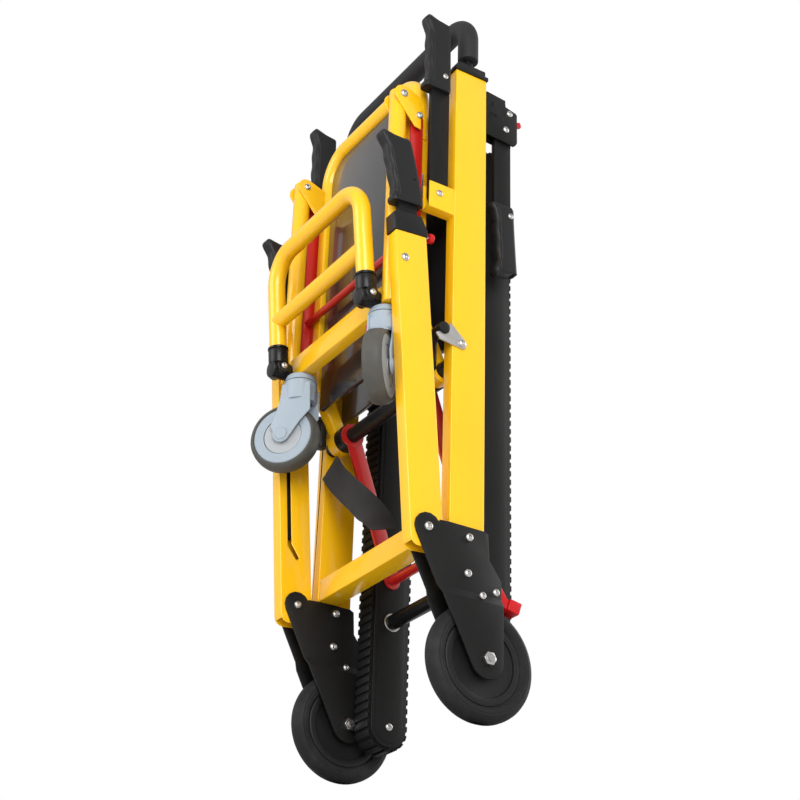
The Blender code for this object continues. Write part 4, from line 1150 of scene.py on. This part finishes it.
def rib_tree():
    """Inputs: an outline as a closed edge loop, the rib's width, depth and pitch, and its finish."""
    tree = bpy.data.node_groups.new("belt_ribs", "GeometryNodeTree")
    face = tree.interface
    face.new_socket("Geometry", in_out="INPUT", socket_type="NodeSocketGeometry")
    for name, value in (("Width", 0.034), ("Thick", 0.006), ("Depth", 0.003), ("Pitch", RIB_PITCH)):
        face.new_socket(name, in_out="INPUT", socket_type="NodeSocketFloat").default_value = value
    face.new_socket("Finish", in_out="INPUT", socket_type="NodeSocketMaterial")
    face.new_socket("Geometry", in_out="OUTPUT", socket_type="NodeSocketGeometry")
    new, link = tree.nodes.new, tree.links.new
    given, result = new("NodeGroupInput"), new("NodeGroupOutput")
    curve = new("GeometryNodeMeshToCurve")
    even = new("GeometryNodeResampleCurve")
    even.mode = "LENGTH"
    tangent = new("GeometryNodeInputTangent")
    align = new("FunctionNodeAlignRotationToVector")
    align.axis = "Z"
    align.pivot_axis = "X"
    size = new("ShaderNodeCombineXYZ")
    rib = new("GeometryNodeMeshCube")
    for axis, count in (("Vertices X", 2), ("Vertices Y", 2), ("Vertices Z", 2)):
        rib.inputs[axis].default_value = count
    instance = new("GeometryNodeInstanceOnPoints")
    real, paint = new("GeometryNodeRealizeInstances"), new("GeometryNodeSetMaterial")
    link(given.outputs["Geometry"], curve.inputs["Mesh"])
    link(curve.outputs["Curve"], even.inputs["Curve"])
    link(given.outputs["Pitch"], even.inputs["Length"])
    link(tangent.outputs["Tangent"], align.inputs["Vector"])
    link(given.outputs["Width"], size.inputs["X"])
    link(given.outputs["Depth"], size.inputs["Y"])
    link(given.outputs["Thick"], size.inputs["Z"])
    link(size.outputs["Vector"], rib.inputs["Size"])
    link(even.outputs["Curve"], instance.inputs["Points"])
    link(rib.outputs["Mesh"], instance.inputs["Instance"])
    link(align.outputs["Rotation"], instance.inputs["Rotation"])
    link(instance.outputs["Instances"], real.inputs["Geometry"])
    link(real.outputs["Geometry"], paint.inputs["Geometry"])
    link(given.outputs["Finish"], paint.inputs["Material"])
    link(paint.outputs["Geometry"], result.inputs["Geometry"])
    return tree


RIBS = rib_tree()
RIB_DEPTH = 0.0028
for side, sign in SIDES:
    x = sign * TRACK_X
    outline = stadium(TRACK_R - RIB_DEPTH / 2)
    source = bpy.data.meshes.new("outline")
    count = len(outline)
    source.from_pydata([(x, y + FRONT, z) for y, z in outline], [(i, (i + 1) % count) for i in range(count)], [])
    ribs = tree_to_mesh(f"belt_ribs_{side}", source, RIBS, {
        "Width": 0.0338, "Thick": 0.0080, "Depth": RIB_DEPTH, "Pitch": RIB_PITCH, "Finish": BELT_RUBBER})
    bm = bmesh.new()
    bm.from_mesh(ribs)
    soften(bm, 0.0013, 3)
    bpy.data.meshes.remove(ribs)
    as_piece(f"belt_ribs_{side}", bm, "tracks", BELT_RUBBER, shift=0.0)
    band = bmesh.new()
    loops = []
    for radius, edge in ((TRACK_R - BELT_T, -0.017), (TRACK_R - RIB_DEPTH, -0.017),
                         (TRACK_R - RIB_DEPTH, 0.017), (TRACK_R - BELT_T, 0.017)):
        loops.append([band.verts.new((x + edge, y, z)) for y, z in stadium(radius)])
    for one, other in zip(loops, loops[1:] + loops[:1]):
        for step in range(count):
            after = (step + 1) % count
            band.faces.new((one[step], one[after], other[after], other[step]))
    as_piece(f"belt_band_{side}", tidy(band), "tracks", BELT_RUBBER, (f"track_belt_{side}",))

# %% Track cross tube and pulleys
TRACK_HINGE_Z = 0.215
tube = swept([(-0.0991, TRACK_Y, TRACK_HINGE_Z), (0.0991, TRACK_Y, TRACK_HINGE_Z)], circle(0.0105))
as_piece("track_cross_tube", tube, "tracks", BLACK_GLOSS, ("track_hinge_tube",))
rings = []
for _side, sign in SIDES:
    ring = [(0.0, 0.0106), (0.0, 0.0124), (0.0006, 0.0130), (0.0014, 0.0130), (0.0020, 0.0124), (0.0020, 0.0106),
            (0.0, 0.0106)]
    rings.append(placed(turned(ring, 48), Matrix.Translation((sign * 0.0990, TRACK_Y, TRACK_HINGE_Z))
                        @ Matrix.Diagonal((-sign, 1, 1, 1))))
as_piece("track_tube_collars", tidy(joined(*rings)), "tracks", BOLT_STEEL)
for side, sign in SIDES:
    for where, z in (("lower", TRACK_LOW), ("upper", TRACK_HIGH)):
        node = f"track_pulley_{where}_{side}"
        rim = [(0.016, 0.0), (0.016, 0.008), (0.010, 0.010), (0.010, 0.019), (0.016, 0.021), (0.016, 0.0242),
               (0.0, 0.0244)]
        pulley = shifted(turned(mirrored_profile(rim), 48), sign * TRACK_X, TRACK_Y, z)
        as_piece(f"pulley_shape_{where}_{side}", pulley, f"pulley_{where}_{side}", GREY_PLASTIC,
                 (node,))

# %% [markdown]
# ## Latch tubes and hook plates
# On the outside of each upright a stainless hook holds the bent end of a black tube, which runs down
# the inside of the frame. The tube is swept along its route, and the hook is cut from plate.

# %% Latch
LATCH = (-0.0150, 0.5170)
LATCH_R = 0.0082
for side, sign in SIDES:
    route = rounded_path([(sign * 0.1430, LATCH[0], 0.470), (sign * 0.1430, *LATCH), (sign * 0.1775, *LATCH)],
                         0.013, 12, 0.01)
    tube = soften(swept(route, circle(LATCH_R, 28)), 0.0010, 2, 60)
    as_piece(f"latch_tube_{side}", tube, "frame", CAP_PLASTIC)
    bolt = (0.0130, 0.5020)
    hook = [(LATCH[0] - 0.0060, LATCH[1] - 0.0190), (LATCH[0] - 0.0120, LATCH[1] - 0.0105)]
    hook += arc(LATCH, LATCH_R + 0.0006, 230, 390, 14)
    hook += [(LATCH[0] + 0.0100, LATCH[1] + 0.0105), (LATCH[0] + 0.0160, LATCH[1] + 0.0060)]
    hook += arc(bolt, 0.0080, 45, -115, 12)
    x_near = sign * 0.1727
    plate = soften(slab(hook, x_near, x_near + sign * 0.0026), 0.0004, 2, 60)
    as_piece(f"hook_plate_{side}", plate, "frame", PLATE_STEEL)
    screws(f"hook_bolt_{side}", "frame", [((x_near + sign * 0.0026, *bolt), (sign, 0, 0), 0.0055)])

# %% [markdown]
# ## Webbing strap
# The strap is flat nylon webbing that hangs in a shallow curve and turns over once. A strip is carried
# along the curve, and its width direction turns about the curve as it goes. The strip has its own
# map, so the weave follows it round the twist.

# %% Strap
STRAP_WIDTH = 0.040
STRAP_THICK = 0.0014


def strap_mesh(name, route, twist):
    """A woven strip along a route of points. Twist is a list of (position, width direction)."""
    bm = bmesh.new()
    layer = bm.loops.layers.uv.new("UVMap")
    steps = 90
    across = 8
    rings = []
    lengths = [0.0]
    points = []
    for step in range(steps + 1):
        points.append(spline(route, step / steps))
        if step:
            lengths.append(lengths[-1] + (points[-1] - points[-2]).length)
    for step, point in enumerate(points):
        t = step / steps
        along = (points[min(step + 1, steps)] - points[max(step - 1, 0)]).normalized()
        wide = spline(twist, t)
        wide = (wide - along * wide.dot(along)).normalized()
        thick = along.cross(wide)
        ring = []
        for face_sign in (1.0, -1.0):
            for number in range(across + 1):
                u = -0.5 + number / across if face_sign > 0 else 0.5 - number / across
                cup = 0.0022 * (1 - (2 * u) ** 2) * math.sin(math.pi * t)
                ring.append(bm.verts.new(point + wide * STRAP_WIDTH * u
                                         + thick * (cup + face_sign * STRAP_THICK / 2)))
        rings.append(ring)
    count = len(rings[0])
    for step, (one, other) in enumerate(zip(rings, rings[1:])):
        for number in range(count):
            after = (number + 1) % count
            face = bm.faces.new((one[number], one[after], other[after], other[number]))
            for loop in face.loops:
                index = one.index(loop.vert) if loop.vert in one else other.index(loop.vert)
                distance = lengths[step] if loop.vert in one else lengths[step + 1]
                part = index % (across + 1) / across
                loop[layer].uv = (part * STRAP_WIDTH * 4, distance * 4)
    bm.faces.new(rings[0])
    bm.faces.new(rings[-1])
    bmesh.ops.recalc_face_normals(bm, faces=bm.faces)
    print(name, "length", round(lengths[-1], 3))
    return bm


def spline(points, t):
    """A smooth curve through evenly spaced points."""
    points = [Vector(point) for point in points]
    place = t * (len(points) - 1)
    index = min(int(place), len(points) - 2)
    u = place - index
    p1, p2 = points[index], points[index + 1]
    p0 = points[index - 1] if index else p1 * 2 - p2
    p3 = points[index + 2] if index + 2 < len(points) else p2 * 2 - p1
    return 0.5 * (2 * p1 + (p2 - p0) * u + (2 * p0 - 5 * p1 + 4 * p2 - p3) * u * u
                  + (3 * p1 - p0 - 3 * p2 + p3) * u * u * u)


strap_route = [(-0.146, 0.004, 0.446), (-0.1245, -0.004, 0.430), (-0.101, -0.008, 0.407), (-0.072, -0.009, 0.381),
               (-0.042, -0.009, 0.355), (-0.019, -0.007, 0.333), (0.002, -0.004, 0.312), (0.014, 0.002, 0.292)]
strap_width = [(0.48, 0.25, 0.84), (0.52, 0.18, 0.83), (0.56, 0.10, 0.82), (0.58, 0.12, 0.80), (0.60, 0.20, 0.77),
               (0.55, 0.45, 0.70), (0.35, 0.80, 0.48), (0.10, 0.98, 0.15)]
as_piece("safety_strap", strap_mesh("safety_strap", strap_route, strap_width), "frame", WEBBING,
         ("safety_belt",), limit=math.radians(60))

# %% [markdown]
# ## Where the screws go
# Each list gives a place, the way the head faces and its radius. Pivots have bigger heads.

# %% Screws on the frame
fixed, nuts, rivets = [], [], []
for _side, sign in SIDES:
    out = (sign, 0, 0)
    plate = sign * 0.1758
    low_plate = sign * 0.1808
    fixed += [((plate, -0.033, 0.229), out, 0.0062), ((plate, 0.0273, 0.2294), out, 0.0056),
              ((plate, 0.0257, 0.1814), out, 0.0056), ((low_plate, 0.0444, 0.1550), out, 0.0050),
              ((low_plate - sign * 0.001, 0.0648, 0.1640), out, 0.0050)]
    inner = sign * 0.1492
    for y, z in ((-0.033, 0.229), (0.0273, 0.2294), (0.0257, 0.1814)):
        fixed.append(((inner, y, z), (-sign, 0, 0), 0.0056))
    fixed.append(((sign * 0.1442, 0.0444, 0.1540), (-sign, 0, 0), 0.0045))
    nuts.append(((low_plate, 0.052, 0.075), out, 0.0090))
    nuts.append(((sign * 0.1442, 0.052, 0.075), (-sign, 0, 0), 0.0090))
    fixed += [((sign * 0.1725, -0.0253, 0.7268), out, 0.0052), ((sign * 0.1725, 0.0922, 0.9129), out, 0.0052),
              ((sign * 0.1725, 0.0860, 0.8823), out, 0.0052)]
    rivets += [((sign * 0.1725, y, z), out, 0.0024) for y, z in ((0.0640, 0.9200), (0.0620, 0.9020), (0.0680, 0.9010))]
    fixed += [((sign * 0.1090, 0.0100, 0.4890), (0, 0, 1), 0.0035)]
screws("frame_screws", "frame", fixed)
screws("axle_nuts", "frame", nuts, "nut")
screws("bracket_rivets", "frame", rivets, finish=BLACK_STEEL)

# %% Screws on moving bodies
for side, sign in SIDES:
    out = (sign, 0, 0)
    local = leaning @ Matrix.Translation((0, 0, 0))
    arm_bolt = local @ Vector((sign * 0.1725, -0.0120, 0.3780))
    front_bolt = local @ Vector((sign * 0.1735, 0.0100, 0.5050))
    screws(f"arm_screw_{side}", f"lift_arm_{side}", [(tuple(arm_bolt), out, 0.0060)])
    screws(f"grip_screw_{side}", f"arm_extension_{side}", [(tuple(front_bolt), out, 0.0018)], finish=BLACK_STEEL)
    screws(f"rest_screw_{side}", f"armrest_{side}", [((sign * 0.1735, -0.0198, 0.9300), out, 0.0045)])
    screws(f"rear_screw_{side}", f"lift_handle_{side}", [((sign * 0.1735, 0.0930, 0.7345), out, 0.0045)])
seat_screws, foot_screws, leg_screws, track_screws = [], [], [], []
for _side, sign in SIDES:
    out = (sign, 0, 0)
    seat_screws += [((sign * 0.1523, -0.0742, 0.8895), out, 0.0060), ((sign * 0.1523, -0.0478, 0.8622), out, 0.0056),
                    ((sign * 0.1217, -0.0742, 0.8895), (-sign, 0, 0), 0.0056)]
    for end in (-1, 1):
        foot_screws.append((tuple(tipped @ Vector((sign * FOOT_X + end * 0.0166, 0, 0))), (end, 0, 0), 0.0048))
    leg_screws.append(((sign * 0.1100, -0.0820, 0.5975), (0, -1, 0), 0.0062))
    track_screws += [((sign * 0.1202 + end * 0.0212, TRACK_Y, TRACK_LOW), (end, 0, 0), 0.0055) for end in (-1, 1)]
screws("seat_screws", "seat", seat_screws)
screws("footrest_screws", "footrest", foot_screws)
screws("track_screws", "tracks", track_screws)

# %% [markdown]
# ## Studio
# Large soft lights stand to the right and in front, and the pale surroundings fill the shadows. The
# floor can only be seen from above: from below it lets the camera and the light through.

# %% Floor and lights


def floor_finish():
    pale = Finish("pale_floor", roughness=0.6)
    grain = pale.noise(3.0, 2.0)
    pale.set("Base Color", pale.mix(grain, rgb(0.80, 0.80, 0.80), rgb(0.84, 0.84, 0.84)))
    below = pale.node("ShaderNodeNewGeometry", {}, {}, "Backfacing")
    clear = pale.node("ShaderNodeBsdfTransparent", {}, {})
    surface = Term(pale, pale.shader.outputs["BSDF"])
    both = pale.node("ShaderNodeMixShader", {}, {0: below, 1: surface, 2: clear})
    target = next(node for node in pale.tree.nodes if node.bl_idname == "ShaderNodeOutputMaterial")
    pale.tree.links.new(both.socket, target.inputs["Surface"])
    return pale.material


floor_mesh = bpy.data.meshes.new("floor")
floor_mesh.from_pydata([(-4, -4, -0.0005), (4, -4, -0.0005), (4, 4, -0.0005), (-4, 4, -0.0005)], [], [(0, 1, 2, 3)])
floor_mesh.materials.append(floor_finish())
floor = bpy.data.objects.new("floor", floor_mesh)
bpy.context.scene.collection.objects.link(floor)


def soft_light(name, place, target, size, power):
    light = bpy.data.lights.new(name, "AREA")
    light.shape = "RECTANGLE"
    light.size, light.size_y = size
    light.energy = power
    obj = bpy.data.objects.new(name, light)
    obj.location = place
    aim = Vector(target) - Vector(place)
    obj.rotation_euler = aim.to_track_quat("-Z", "Y").to_euler()
    bpy.context.scene.collection.objects.link(obj)


soft_light("key", (2.6, -1.3, 0.9), (0, 0, 0.5), (1.6, 2.4), 75)
soft_light("front", (-0.6, -3.0, 1.4), (0, 0, 0.5), (2.2, 2.0), 40)
soft_light("back", (0.5, 2.8, 1.6), (0, 0, 0.6), (2.0, 2.0), 35)

world = bpy.data.worlds.new("studio")
bpy.context.scene.world = world
world.use_nodes = True
sky = world.node_tree
seen = sky.nodes.new("ShaderNodeLightPath").outputs["Is Camera Ray"]
strength = sky.nodes.new("ShaderNodeMapRange")
strength.inputs["To Min"].default_value = 0.62
strength.inputs["To Max"].default_value = 1.0
sky.links.new(seen, strength.inputs["Value"])
sky.nodes["Background"].inputs["Color"].default_value = (1.0, 1.0, 1.0, 1.0)
sky.links.new(strength.outputs["Result"], sky.nodes["Background"].inputs["Strength"])
